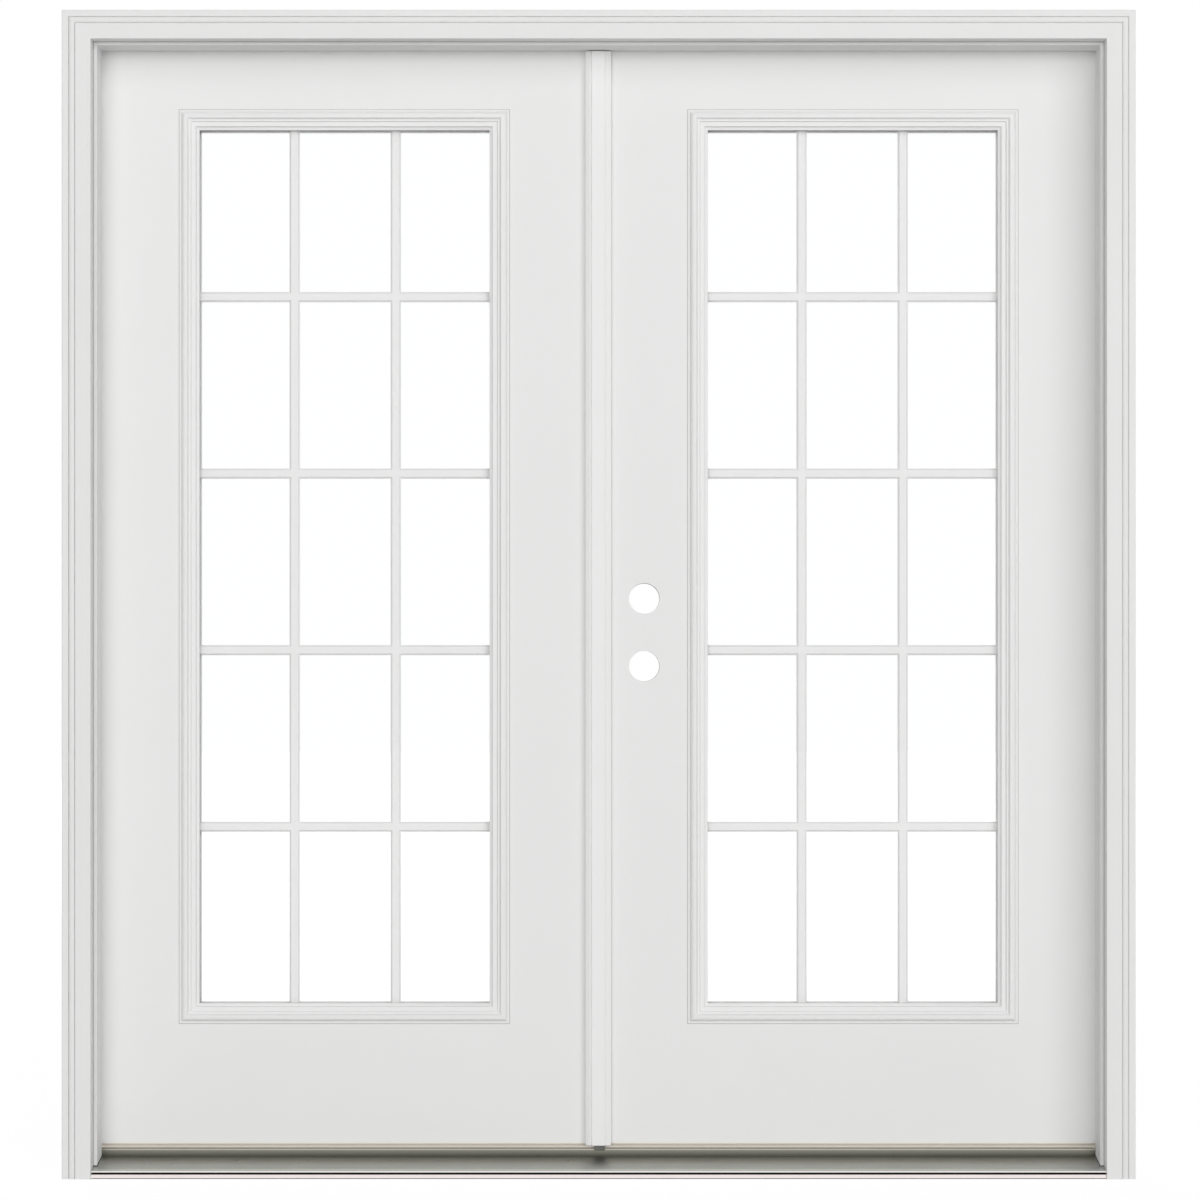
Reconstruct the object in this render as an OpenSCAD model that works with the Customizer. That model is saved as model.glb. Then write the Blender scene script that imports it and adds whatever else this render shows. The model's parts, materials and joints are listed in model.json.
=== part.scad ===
// Double inswing patio door in its frame: primed jambs with exterior casing, an aluminium sill,
// two flat steel leaves with fifteen-lite glass units, and a T-astragal on the left leaf.
// X runs along the wall, Y from outdoors into the room, Z up. Y = 0 is the outside face of the jambs.
// Sizes are in millimetres. The origin is on the underside of the sill, midway between the jambs.

/* [Frame] */
// Width over the outsides of the side jambs
frame_w = 1820; // [1700:5:1900]
// Height from the underside of the sill to the top of the head jamb
frame_h = 2013.5; // [1990:0.5:2060]
// Depth of the jambs, from the outside face to the room face
jamb_depth = 115.9; // [114:0.1:120]
// Thickness of a jamb at its stop
jamb_t = 31.75; // [30:0.05:36]
// Depth of the rabbet that a leaf closes into
rabbet = 12.7; // [12:0.1:14]
// Depth of the stop, from the outside face
stop_depth = 64; // [61:0.5:65]
// Width of the kerf that holds the weatherstrip
kerf_w = 3; // [2.5:0.1:3.5]
// Depth of that kerf
kerf_d = 9; // [7:0.5:12]

/* [Brickmould] */
// Width of the exterior casing
mould_w = 50.8; // [48:0.2:60]
// Thickness of the exterior casing
mould_t = 31.75; // [30:0.05:36]
// Strip of side jamb left bare inside the casing
mould_reveal = 7; // [5:0.5:10]
// Strip of head jamb left bare under the casing
head_reveal = 6; // [5:0.5:10]

/* [Sill] */
// How far the deck's nose stands out from the jambs
nose_out = 30; // [28:0.5:32]
// Height of the deck at its nose
nose_z = 14.4; // [13.6:0.1:16]
// Height of the deck at the riser
deck_back_z = 28.8; // [28:0.1:32]
// Thickness of the deck's sheet
deck_t = 1.8; // [1.5:0.1:2.2]
// Distance from the jambs' outside face to the riser
riser_y = 65; // [64.5:0.1:66]
// Height of the top of the threshold cap
cap_top = 46.8; // [46:0.1:48]
// Thickness of the pads under the jamb feet
gasket_t = 1.2; // [0.8:0.1:1.6]

/* [Leaves] */
// Thickness of a leaf
leaf_t = 44.45; // [44:0.05:45]
// Gap between a leaf and the jamb, on the hinge side and at the top
leaf_gap = 3.2; // [2.8:0.1:4]
// Height of the bottom of a leaf
leaf_bottom = 50.2; // [49.8:0.1:54]
// Distance from the middle of the doorway to each leaf's lock edge
lock_edge = 11; // [10.5:0.1:12]
// How much further back the active leaf's lock edge is on its outside face
edge_bevel = 2.3; // [1.5:0.1:3]
// Thickness of a steel skin
skin_t = 0.6; // [0.5:0.1:0.9]
// Width of the edge lip that a skin folds over the stiles
skin_lip = 8; // [6:0.5:8]
// Width of a stile
stile_w = 38; // [34:1:40]
// Height of the top rail
top_rail_h = 38; // [34:1:60]
// Height of the bottom rail
bottom_rail_h = 45; // [40:1:70]

/* [Lock bores] */
// Diameter of the two cross bores
bore_d = 53.98; // [50:0.02:55]
// Distance from the lock edge to the middle of a cross bore
backset = 69.85; // [60:0.05:70]
// Height of the deadbolt bore
deadbolt_z = 1014; // [1000:1:1100]
// Height of the latch bore below it
lockset_z = 894; // [860:1:940]
// Diameter of the edge bores
latch_bore_d = 25.4; // [22:0.1:26]

/* [Glass] */
// Width of the daylight opening of a leaf
daylight_w = 513.5; // [480:0.5:540]
// Height of the daylight opening of a leaf
daylight_h = 1546; // [1500:1:1560]
// Height of the middle of the daylight opening
lite_z = 1070.3; // [1060:0.1:1080]
// Distance from the middle of the doorway to the middle of a daylight opening
lite_x = 450; // [440:1:455]
// Face width of the moulded lite frame
lite_face = 36.25; // [36:0.05:40]
// Height of the lite frame's ridge above the skin
lite_rise = 9.5; // [8:0.1:12]
// Thickness of the sealed glass unit
glass_unit_t = 25.4; // [24:0.1:26]
// Thickness of a pane
pane_t = 3.2; // [2.5:0.1:4]
// Width of a grille bar
bar_w = 18; // [15:0.5:22]
// Thickness of a grille bar
bar_t = 8; // [6:0.5:12]
// Distance between the middles of the two upright bars
bar_pitch_x = 179.5; // [150:0.5:190]
// Distance between the middles of neighbouring cross bars
bar_pitch_z = 313.4; // [280:0.1:316]
// Height of the lowest cross bar
bar_low_z = 609.1; // [590:0.1:620]

/* [Astragal] */
// Width of the astragal's flange
flange_w = 44.5; // [42:0.5:48]
// Sideways place of the middle of the flange
flange_x = -0.55; // [-1:0.05:0]
// Distance of the flange's outside face from the jambs' outside face
flange_y = 53.5; // [52:0.5:54]
// Gap between the flange and the active leaf, filled by a bulb strip
flange_gap = 6.45; // [6:0.05:7]
// Thickness of the astragal's stem
stem_t = 18.8; // [18:0.1:19]
// Diameter of a flush bolt
bolt_d = 9.5; // [9:0.1:10]
// Travel of a flush bolt
bolt_travel = 19; // [15:0.5:20]

/* [Hinges] */
// Height of a hinge
hinge_h = 102; // [90:1:110]
// Thickness of a hinge plate
plate_t = 2.5; // [2.2:0.1:2.8]
// Diameter of a hinge knuckle
knuckle_d = 12; // [11:0.2:12.4]
// Diameter of a hinge pin
pin_d = 6; // [5:0.1:7]
// Distance of the hinge pin behind the jambs' room face
pin_out = 6.5; // [6.4:0.1:8]
// Distance from the leaf's top to the middle of the top hinge
hinge_drop = 229; // [200:1:260]
// Distance from the leaf's bottom to the middle of the bottom hinge
hinge_rise = 330; // [260:1:360]

/* [Hidden] */
$fn = 48;

// Overlap that cutters reach past the faces they cut
over = 1;
// Clearance of screws in their holes
screw_play = 0.05;
// Clearance of sill pieces between the jambs and casings
sill_play = 0.3;
// Clearance of the bulb strips in front of the leaves
seal_gap = 0.45;
// Thickness of the glue between the lock block and its stile, and between the astragal's flange and stem
glue_line = 0.15;

// Frame lines
x_out = frame_w / 2;
x_stop = x_out - jamb_t;
x_rabbet = x_stop + rabbet;
z_stop = frame_h - jamb_t;
z_rabbet = z_stop + rabbet;
kerf_inset = 5.75;
mould_in = x_stop + mould_reveal;
mould_out = mould_in + mould_w;
mould_z = z_stop + head_reveal;
mould_top = mould_z + mould_w;

// Casing profile: distance from the outer edge, height from the back
bead_from = 13;
bead_to = 22.3;
bead_base = mould_t - 3.8;
bead_rise = 3.2;
bead_half = (bead_to - bead_from) / 2;
bead_r = (bead_half * bead_half + bead_rise * bead_rise) / (2 * bead_rise);
bead_angle = asin(bead_half / bead_r);
mould_profile = concat(
    [[0, 0], [0, mould_t - 4.2], [1.4, mould_t - 2.8], [11.5, mould_t - 2.8], [11.7, mould_t - 5.8]],
    [[12.8, mould_t - 5.8]],
    arc([bead_from + bead_half, bead_base + bead_rise - bead_r], bead_r,
        90 + bead_angle, 90 - bead_angle, 8),
    [[22.5, mould_t - 4.8], [23.5, mould_t - 4.8], [23.8, mould_t - 0.5], [24.3, mould_t]],
    [[mould_w - 1.5, mould_t], [mould_w - 0.4, mould_t - 0.5], [mould_w, mould_t - 1.6]],
    [[mould_w, 0]]
);

// Sill lines
deck_slope = (deck_back_z - nose_z) / (riser_y + nose_out);
lip_drop = 2.5;
riser_back = riser_y + deck_t;
riser_top = cap_top - 6.2;
gasket_show = 0.8;
hem_out = 1.4;
hem_h = 1.6;
base_top = deck_back_z - 0.8;
base_front = -nose_out + 2;
base_back = jamb_depth - 2.9;
base_foot = 1.8;
base_foot_inset = 2.5;
base_face_top = 8.4;
base_groove_y = -nose_out + 24;
pad_top = cap_top + 8.2;
cap_front = riser_y - 2.5;
cap_lip_z = cap_top - 4.3;
cap_under = 1.8;
cap_t = 5.8;
cap_rib_t = 4;
cap_rib_front = riser_back + 3.2;
cap_rib_back = base_back - 9;
cap_screw_y = (cap_rib_front + cap_rib_back + cap_rib_t) / 2 - 3;
cap_screw_xs = [for (i = [0:5]) -750 + 300 * i];
cap_screw_head_r = 5;
cap_screw_r = 3;
cap_screw_sink = 0.4;
cap_screw_head_h = 3;

// Leaf lines
leaf_y0 = jamb_depth - leaf_t;
leaf_y1 = jamb_depth;
leaf_mid_y = leaf_y0 + leaf_t / 2;
leaf_edge = x_rabbet - leaf_gap;
leaf_top = z_rabbet - leaf_gap;
core_y0 = leaf_y0 + skin_t;
core_y1 = leaf_y1 - skin_t;
stile_lock_x = lock_edge + stile_w;
stile_hinge_x = leaf_edge - stile_w;
rail_low = leaf_bottom + bottom_rail_h;
rail_high = leaf_top - top_rail_h;
bore_x = lock_edge + backset;
bore_zs = [deadbolt_z, lockset_z];
latch_way = latch_bore_d + 1.6;
lock_block_w = 100;
lock_block_h = 300;
lock_block_z = (deadbolt_z + lockset_z) / 2 - lock_block_h / 2;
sweep_inset = 1.2;
sweep_base_t = 1.2;
sweep_fin_t = 1.4;
sweep_low = cap_top + 0.4;

// Glass and lite frame lines
glass_lap = 11;
cutout_lap = 19;
glass_w = daylight_w + 2 * glass_lap;
glass_h = daylight_h + 2 * glass_lap;
glass_y0 = leaf_mid_y - glass_unit_t / 2;
glass_y1 = leaf_mid_y + glass_unit_t / 2;
spacer_w = 7.5;
lite_w = daylight_w + 2 * lite_face;
lite_h = daylight_h + 2 * lite_face;
cutout_w = daylight_w + 2 * cutout_lap;
cutout_h = daylight_h + 2 * cutout_lap;
bar_bevel = 3.2;
bar_edge = 0.8;
lite_seat = glass_y0 - leaf_y0;
boss_depth = 20;
boss_out = lite_face - cutout_lap + 0.75;
boss_in = lite_face - glass_lap - 0.75;
lite_screw_u = (boss_out + boss_in) / 2;
lite_screw_r = 2;
lite_screw_head_r = 3.6;
lite_screw_head_h = 2.4;
lite_screw_head_v = 1;
lite_screw_tip = 8;
lite_screw_rows = 5;
lite_screw_columns = 2;

// Lite frame profile: distance from the outer edge, height above the skin
ovolo_to = 12.2;
ovolo_w = 9.9;
ovolo_h = 13.3;
lite_profile = concat(
    [[0, 0], [0, 1], [0.5, 1.5], [2.9, 1.6]],
    [for (a = [155:-13:90]) [ovolo_to + ovolo_w * cos(a), lite_rise - ovolo_h * (1 - sin(a))]],
    [[14, lite_rise], [15, lite_rise - 0.5], [16.2, lite_rise - 2.2], [17.2, lite_rise - 3.4]],
    [[18, 5.8], [20.2, 5.2], [21.4, 4.4], [22.6, 2.6], [23.4, 2.2], [29.4, 2]],
    [[30, 1.6], [30.4, -1.4], [31.2, -1.6], [32.2, 0], [33.6, 0.7], [lite_face - 0.4, 0.3]],
    [[lite_face, -0.4], [lite_face, -lite_seat], [lite_face - 3, -lite_seat], [lite_face - 3, -3]],
    [[lite_face - 6.4, -3], [lite_face - 7.6, 0.4], [boss_in, 0.4]],
    [[boss_in, -boss_depth], [boss_out, -boss_depth], [boss_out, 0]]
);

// Astragal lines
stem_x0 = -lock_edge;
stem_x1 = stem_x0 + stem_t;
stem_back = leaf_y1 - 2.9;
flange_back = leaf_y0 - flange_gap;
flange_half = flange_w / 2;
flange_bevel = 5.5;
flange_low = cap_top + 1;
flange_high = z_stop - 1.6;
bolt_x = (stem_x0 + stem_x1) / 2;
bolt_y = leaf_mid_y - 1.7;
bolt_r = bolt_d / 2;
bolt_play = 0.35;
bolt_len = 150;
bolt_end_gap = 0.8;
bolt_hole_r = bolt_r + 0.8;
thumb_from = 15;
thumb_l = 20;
thumb_w = 6;
strike_t = 1.5;
strike_half = [14, 14];
pocket_r = 12;
pocket_depth = 14;
astragal_screw_y = leaf_mid_y + 7;
astragal_screw_l = 45;
astragal_screw_zs = [for (i = [0:4]) 320 + 320 * i];
seal_kerf_x = flange_x + 15.4;
seal_kerf_w = 2.6;
seal_kerf_d = 4;

// Hinge lines
pin_x = x_rabbet - leaf_gap / 2;
pin_y = jamb_depth + pin_out;
pin_play = 0.05;
pin_head_r = 4.6;
pin_head_h = 3;
knuckles = 5;
knuckle_gap = 0.4;
knuckle_pitch = hinge_h / knuckles;
plate_split = 0.4;
plate_near = leaf_y0 + skin_lip + 1.2;
plate_far = jamb_depth - 0.7;
plate_corner = 12;
plate_play = 0.15;
jamb_plate_x = pin_x + plate_split / 2;
leaf_plate_x = pin_x - plate_split / 2 - plate_t;
hinge_zs = [leaf_top - hinge_drop, (leaf_top - hinge_drop + leaf_bottom + hinge_rise) / 2,
    leaf_bottom + hinge_rise];
screw_r = 2;
screw_head_r = 4.2;
screw_head_h = 2.2;
screw_point = 3;
jamb_screw_l = 17;
leaf_screw_l = 25;
plate_screws = [for (i = [0:3]) [plate_near + 12 + 12 * (i % 2), (i - 1.5) * hinge_h / 4.2]];

// Colours
primer = "#eeeeec";
vinyl = "#f1f1ef";
wood = "#d8b98c";
foam = "#e6dfc2";
aluminium = "#a6a69f";
steel = "#b9bbbd";
rubber = "#2f2f2d";
beige = "#c3bcb2";

// Points along an arc about c
function arc(c, r, a0, a1, n) = [for (i = [0:n]) let (a = a0 + (a1 - a0) * i / n) c + r * [cos(a), sin(a)]];

// Height of the deck's top at a distance from the jambs' outside face
function deck_z(y) = nose_z + deck_slope * (y + nose_out);

// Sideways place of a leaf's lock edge at a depth, with its bevel
function lock_x(y, bevel) = lock_edge + bevel * (leaf_y1 - y) / leaf_t;

// Box between two corners
module block(lo, hi) {
    translate(lo) cube(hi - lo);
}

// Extrudes a profile drawn in Y and Z along X
module along_x(x0, x1) {
    translate([x0, 0, 0]) rotate([90, 0, 90]) linear_extrude(x1 - x0) children();
}

// Extrudes an outline drawn in X and Z along Y
module along_y(y0, y1) {
    translate([0, y1, 0]) rotate([90, 0, 0]) linear_extrude(y1 - y0) children();
}

// Extrudes a section drawn in X and Y up from z0 to z1
module upright(z0, z1) {
    translate([0, 0, z0]) linear_extrude(z1 - z0) children();
}

module left_hand() {
    mirror([1, 0, 0]) children();
}

module both_hands() {
    children();
    left_hand() children();
}

// Rectangular ring with mitred corners, centred in X and Z, from a profile of its face width and height
module mitred_ring(w, h, profile) {
    n = len(profile);
    corners = [[-1, -1], [1, -1], [1, 1], [-1, 1]];
    points = [for (c = corners, p = profile) [c[0] * (w / 2 - p[0]), -p[1], c[1] * (h / 2 - p[0])]];
    faces = [for (i = [0:3], j = [0:n - 1])
        let (k = (i + 1) % 4, m = (j + 1) % n)
        [i * n + j, i * n + m, k * n + m, k * n + j]];
    polyhedron(points, faces, convexity = 6);
}

// Countersunk screw that points along +X, with its head's face at the origin
module screw(l, play = 0) {
    lead = play > 0 ? [[screw_head_r + play, -play * 2]] : [];
    rotate([0, 90, 0]) rotate_extrude() polygon(concat(
        [[0, -play * 2]], lead, [[screw_head_r + play, 0], [screw_r + play, screw_head_h]],
        [[screw_r + play, l - screw_point], [0, l + play]]
    ));
}

// Places its children at every screw of the right-hand hinges
module at_plate_screws() {
    for (z = hinge_zs, p = plate_screws) translate([0, p[0], z + p[1]]) children();
}

// Outline of a hinge plate in Y and Z, round at its inner corners
module plate_outline(far, play = 0) {
    low = hinge_h / 2 + play;
    near = plate_near - play;
    translate([near + plate_corner, -low]) square([far - near - plate_corner, 2 * low]);
    translate([near, plate_corner - low]) square([plate_corner, 2 * (low - plate_corner)]);
    for (s = [-1, 1]) translate([near + plate_corner, s * (low - plate_corner)]) circle(plate_corner);
}

// Mortises for the hinge plates between two sideways places
module hinge_mortises(x0, x1) {
    for (z = hinge_zs) translate([0, 0, z]) along_x(x0, x1) plate_outline(jamb_depth + over, plate_play);
}

// Hinge halves at the right-hand jamb: plates from x0, every second knuckle from the first, children cut away
module hinge_halves(x0, first) {
    difference() {
        for (z = hinge_zs) translate([0, 0, z]) {
            along_x(x0, x0 + plate_t) plate_outline(plate_far);
            for (k = [first:2:knuckles - 1]) {
                low = k * knuckle_pitch - hinge_h / 2 + knuckle_gap / 2;
                high = low + knuckle_pitch - knuckle_gap;
                block([x0, plate_far - over, low], [x0 + plate_t, pin_y, high]);
                translate([pin_x, pin_y, low]) cylinder(r = knuckle_d / 2, h = high - low);
            }
        }
        for (z = hinge_zs) translate([pin_x, pin_y, z - hinge_h / 2 - over])
            cylinder(r = pin_d / 2 + pin_play, h = hinge_h + 2 * over);
        children();
    }
}

module jamb_screws(play = 0) {
    at_plate_screws() translate([jamb_plate_x, 0, 0]) screw(jamb_screw_l, play);
}

module leaf_screws(play = 0) {
    at_plate_screws() translate([leaf_plate_x + plate_t, 0, 0]) mirror([1, 0, 0]) screw(leaf_screw_l, play);
}

// Frame pieces, drawn on the right-hand side where they come in pairs

module side_jamb() {
    kerf_x = x_stop + kerf_inset;
    difference() {
        linear_extrude(frame_h) polygon([
            [x_stop, 0], [x_out, 0], [x_out, jamb_depth], [x_rabbet, jamb_depth], [x_rabbet, stop_depth],
            [kerf_x + kerf_w, stop_depth], [kerf_x + kerf_w, stop_depth - kerf_d],
            [kerf_x, stop_depth - kerf_d], [kerf_x, stop_depth], [x_stop, stop_depth]
        ]);
        along_x(x_stop - over, x_out + over) polygon([
            [-over, -over], [jamb_depth + over, -over], [jamb_depth + over, base_top],
            [riser_back, base_top], [riser_back, deck_z(riser_back) + gasket_t],
            [-over, deck_z(-over) + gasket_t]
        ]);
        hinge_mortises(x_rabbet - over, jamb_plate_x + plate_t);
        jamb_screws(screw_play);
    }
}

module right_jamb() {
    color(primer) side_jamb();
}

module left_jamb() {
    color(primer) left_hand() side_jamb();
}

module head_jamb() {
    kerf_z = z_stop + kerf_inset;
    color(primer) difference() {
        union() {
            block([-x_stop, 0, z_stop], [x_stop, stop_depth, frame_h]);
            block([-x_rabbet, stop_depth, z_rabbet], [x_rabbet, jamb_depth, frame_h]);
        }
        block([-x_stop - over, stop_depth - kerf_d, kerf_z],
            [x_stop + over, stop_depth + over, kerf_z + kerf_w]);
        strike_plate(0, over);
        translate([bolt_x, bolt_y, z_rabbet - over]) cylinder(r = bolt_hole_r, h = bolt_travel);
    }
}

// Plate let into the head jamb, grown downwards by a cutter's overlap
module strike_plate(hole_r, down = 0) {
    difference() {
        block([bolt_x - strike_half[0], bolt_y - strike_half[1], z_rabbet - down],
            [bolt_x + strike_half[0], bolt_y + strike_half[1], z_rabbet + strike_t]);
        if (hole_r > 0) translate([bolt_x, bolt_y, z_rabbet - over])
            cylinder(r = hole_r, h = strike_t + 2 * over);
    }
}

module head_strike() {
    color(steel) strike_plate(bolt_hole_r);
}

module side_casing() {
    intersection() {
        linear_extrude(mould_top + over) polygon([for (p = mould_profile) [mould_out - p[0], -p[1]]]);
        along_y(-mould_t - over, over) polygon([
            [mould_out + over, -over], [mould_out + over, mould_top + over],
            [mould_in - over, mould_z - over], [mould_in - over, -over]
        ]);
    }
}

module right_brickmould() {
    color(primer) side_casing();
}

module left_brickmould() {
    color(primer) left_hand() side_casing();
}

module head_brickmould() {
    color(primer) intersection() {
        along_x(-mould_out - over, mould_out + over)
            polygon([for (p = mould_profile) [-p[1], mould_top - p[0]]]);
        along_y(-mould_t - over, over) polygon([
            [-mould_out - over, mould_top + over], [mould_out + over, mould_top + over],
            [mould_in - over, mould_z - over], [over - mould_in, mould_z - over]
        ]);
    }
}

// Room for the casings at the ends of the sill's nose
module nose_notches() {
    both_hands() block([mould_in - sill_play, -nose_out - over, -over], [x_out + over, 0, cap_top]);
}

module sill_deck() {
    ease = 1.2;
    color(aluminium) difference() {
        along_x(-x_out, x_out) polygon([
            [-nose_out, nose_z - lip_drop], [-nose_out, nose_z - ease],
            [ease - nose_out, deck_z(ease - nose_out)], [riser_y, deck_back_z],
            [riser_y, riser_top - hem_h], [riser_y - hem_out, riser_top - hem_h],
            [riser_y - hem_out, riser_top], [riser_back, riser_top],
            [riser_back, deck_z(riser_back) - deck_t],
            [deck_t - nose_out, deck_z(deck_t - nose_out) - deck_t], [deck_t - nose_out, nose_z - lip_drop]
        ]);
        nose_notches();
        both_hands() block([x_stop - sill_play, riser_y - deck_t, deck_back_z],
            [x_out + over, stop_depth + sill_play, cap_top]);
        both_hands() block([x_rabbet - sill_play, riser_y - deck_t, deck_back_z],
            [x_out + over, riser_back + over, cap_top]);
    }
}

module sill_substrate() {
    color("#ecdfd9") difference() {
        along_x(-x_out, x_out) polygon([
            [base_front + base_foot_inset, 0], [base_back, 0], [base_back, base_top], [riser_back, base_top],
            [riser_back, deck_z(riser_back) - deck_t], [base_groove_y, deck_z(base_groove_y) - deck_t],
            [base_groove_y, base_face_top], [base_front, base_face_top], [base_front, base_foot],
            [base_front + base_foot_inset, base_foot]
        ]);
        nose_notches();
    }
}

module sill_cap() {
    cap_end = x_rabbet - sill_play;
    ease = 0.8;
    color(beige) difference() {
        along_x(-cap_end, cap_end) polygon([
            [cap_front + cap_under, cap_lip_z], [cap_front, cap_lip_z + cap_under],
            [cap_front, cap_top - ease], [cap_front + ease, cap_top],
            [base_back, cap_top], [base_back, cap_top - cap_t],
            [cap_rib_back + cap_rib_t, cap_top - cap_t], [cap_rib_back + cap_rib_t, base_top],
            [cap_rib_back, base_top], [cap_rib_back, cap_top - cap_t],
            [cap_rib_front + cap_rib_t, cap_top - cap_t], [cap_rib_front + cap_rib_t, base_top],
            [cap_rib_front, base_top], [cap_rib_front, cap_lip_z]
        ]);
        both_hands() block([x_stop - sill_play, cap_front - over, riser_top],
            [x_rabbet + over, stop_depth + sill_play, cap_top + over]);
        cap_screws(screw_play, over);
        translate([bolt_x, bolt_y, riser_top - over * 3]) cylinder(r = bolt_hole_r, h = cap_t * 2);
    }
}

// Height screws of the cap, which stand on the sill's base
module cap_screws(play = 0, up = 0) {
    top = cap_top - cap_screw_sink;
    for (x = cap_screw_xs) translate([x, cap_screw_y, 0]) {
        translate([0, 0, top - cap_screw_head_h])
            cylinder(r = cap_screw_head_r + play, h = cap_screw_head_h + up);
        translate([0, 0, base_top])
            cylinder(r = cap_screw_r + play, h = top - base_top - cap_screw_head_h + play);
    }
}

module sill_cap_screws() {
    color(steel) cap_screws();
}

module sill_gaskets() {
    color(rubber) both_hands() along_x(x_stop - gasket_show, x_out) polygon([
        [0, deck_z(0)], [riser_y, deck_z(riser_y)],
        [riser_y, deck_z(riser_y) + gasket_t], [0, deck_z(0) + gasket_t]
    ]);
}

// Section of a bulb strip: place across the stop, depth
function strip_section(across) =
    let (side = 1.2, tip = leaf_y0 - seal_gap, round = 2.2, tail = 0.25, k = kerf_inset)
    [[side, stop_depth], [k + tail, stop_depth], [k + tail, stop_depth - kerf_d + 1],
    [k + kerf_w - tail, stop_depth - kerf_d + 1], [k + kerf_w - tail, stop_depth],
    [across - side, stop_depth], [across - side, tip - round], [across - side - round, tip],
    [side + round, tip], [side, tip - round]];

module side_strip() {
    upright(pad_top, z_stop) polygon([for (p = strip_section(rabbet)) [x_stop + p[0], p[1]]]);
}

module right_weatherstrip() {
    color(vinyl) side_strip();
}

module left_weatherstrip() {
    color(vinyl) left_hand() side_strip();
}

module head_weatherstrip() {
    color(vinyl) intersection() {
        along_x(-x_rabbet, x_rabbet) polygon([for (p = strip_section(rabbet)) [p[1], z_stop + p[0]]]);
        union() {
            block([-x_rabbet + over, stop_depth, z_stop], [x_rabbet - over, leaf_y0, z_rabbet]);
            block([-x_stop, stop_depth - kerf_d, z_stop], [x_stop, stop_depth + over, z_rabbet]);
        }
    }
}

module corner_seal_pads() {
    side = 1.2;
    color(rubber) both_hands() upright(cap_top, pad_top) polygon([
        [x_stop + side, stop_depth + sill_play], [x_rabbet - sill_play, stop_depth + sill_play],
        [x_rabbet - sill_play, leaf_y0 - seal_gap], [x_stop + 2 * side, leaf_y0 - seal_gap]
    ]);
}

module astragal_sill_pad() {
    ease = 1.5;
    front = flange_y + 1;
    low = cap_top - 8;
    pad_over = 0.4;
    color(rubber) along_x(-8, 11) polygon([
        [front, low + ease], [front, cap_top + pad_over], [cap_front, cap_top + pad_over],
        [cap_front, low], [front + ease, low]
    ]);
}

module jamb_hinge_plates() {
    color(steel) both_hands() hinge_halves(jamb_plate_x, 0) jamb_screws(screw_play);
}

module jamb_hinge_screws() {
    color(steel) both_hands() jamb_screws();
}

module hinge_pins() {
    color(steel) both_hands() for (z = hinge_zs) translate([pin_x, pin_y, z]) {
        translate([0, 0, -hinge_h / 2]) cylinder(r = pin_d / 2, h = hinge_h);
        translate([0, 0, hinge_h / 2]) cylinder(r = pin_head_r, h = pin_head_h);
    }
}

// Leaf pieces, drawn for the right-hand leaf

// Skin on the outside face, with lips over both edges, cut out for the lite
module skin(bevel) {
    y0 = leaf_y0;
    y1 = leaf_y0 + skin_t;
    y2 = leaf_y0 + skin_lip;
    difference() {
        upright(leaf_bottom, leaf_top) polygon([
            [lock_x(y0, bevel), y0], [leaf_edge, y0], [leaf_edge, y2], [leaf_edge - skin_t, y2],
            [leaf_edge - skin_t, y1], [lock_x(y1, bevel) + skin_t, y1], [lock_x(y2, bevel) + skin_t, y2],
            [lock_x(y2, bevel), y2]
        ]);
        lite_cutout();
    }
}

// Skin on the room face, where the lock edge's bevel runs out
module room_skin(bevel) {
    y0 = leaf_y1;
    y1 = leaf_y1 - skin_t;
    y2 = leaf_y1 - skin_lip;
    difference() {
        upright(leaf_bottom, leaf_top) polygon([
            [lock_x(y0, bevel), y0], [leaf_edge, y0], [leaf_edge, y2], [leaf_edge - skin_t, y2],
            [leaf_edge - skin_t, y1], [lock_x(y1, bevel) + skin_t, y1], [lock_x(y2, bevel) + skin_t, y2],
            [lock_x(y2, bevel), y2]
        ]);
        lite_cutout();
        hinge_mortises(leaf_plate_x, leaf_edge + over);
    }
}

module lite_cutout() {
    translate([lite_x, 0, lite_z]) block([-cutout_w / 2, leaf_y0 - over, -cutout_h / 2],
        [cutout_w / 2, leaf_y1 + over, cutout_h / 2]);
}

module cross_bores() {
    for (z = bore_zs) translate([bore_x, leaf_y0 - over, z]) rotate([-90, 0, 0])
        cylinder(d = bore_d, h = leaf_t + 2 * over);
}

module edge_bores() {
    for (z = bore_zs) translate([lock_edge - over, leaf_mid_y, z]) rotate([0, 90, 0])
        cylinder(d = latch_bore_d, h = backset);
}

// Routed ways that lead the latches from the stile's edge bores to the cross bores
module latch_ways() {
    for (z = bore_zs) block([stile_lock_x - over, leaf_mid_y - latch_way / 2, z - latch_way / 2],
        [bore_x, leaf_mid_y + latch_way / 2, z + latch_way / 2]);
}

module hinge_stile() {
    lip0 = leaf_y0 + skin_lip;
    lip1 = leaf_y1 - skin_lip;
    difference() {
        upright(leaf_bottom, leaf_top) polygon([
            [stile_hinge_x, core_y0], [leaf_edge - skin_t, core_y0], [leaf_edge - skin_t, lip0],
            [leaf_edge, lip0], [leaf_edge, lip1], [leaf_edge - skin_t, lip1],
            [leaf_edge - skin_t, core_y1], [stile_hinge_x, core_y1]
        ]);
        hinge_mortises(leaf_plate_x, leaf_edge + over);
        leaf_screws(screw_play);
    }
}

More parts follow.
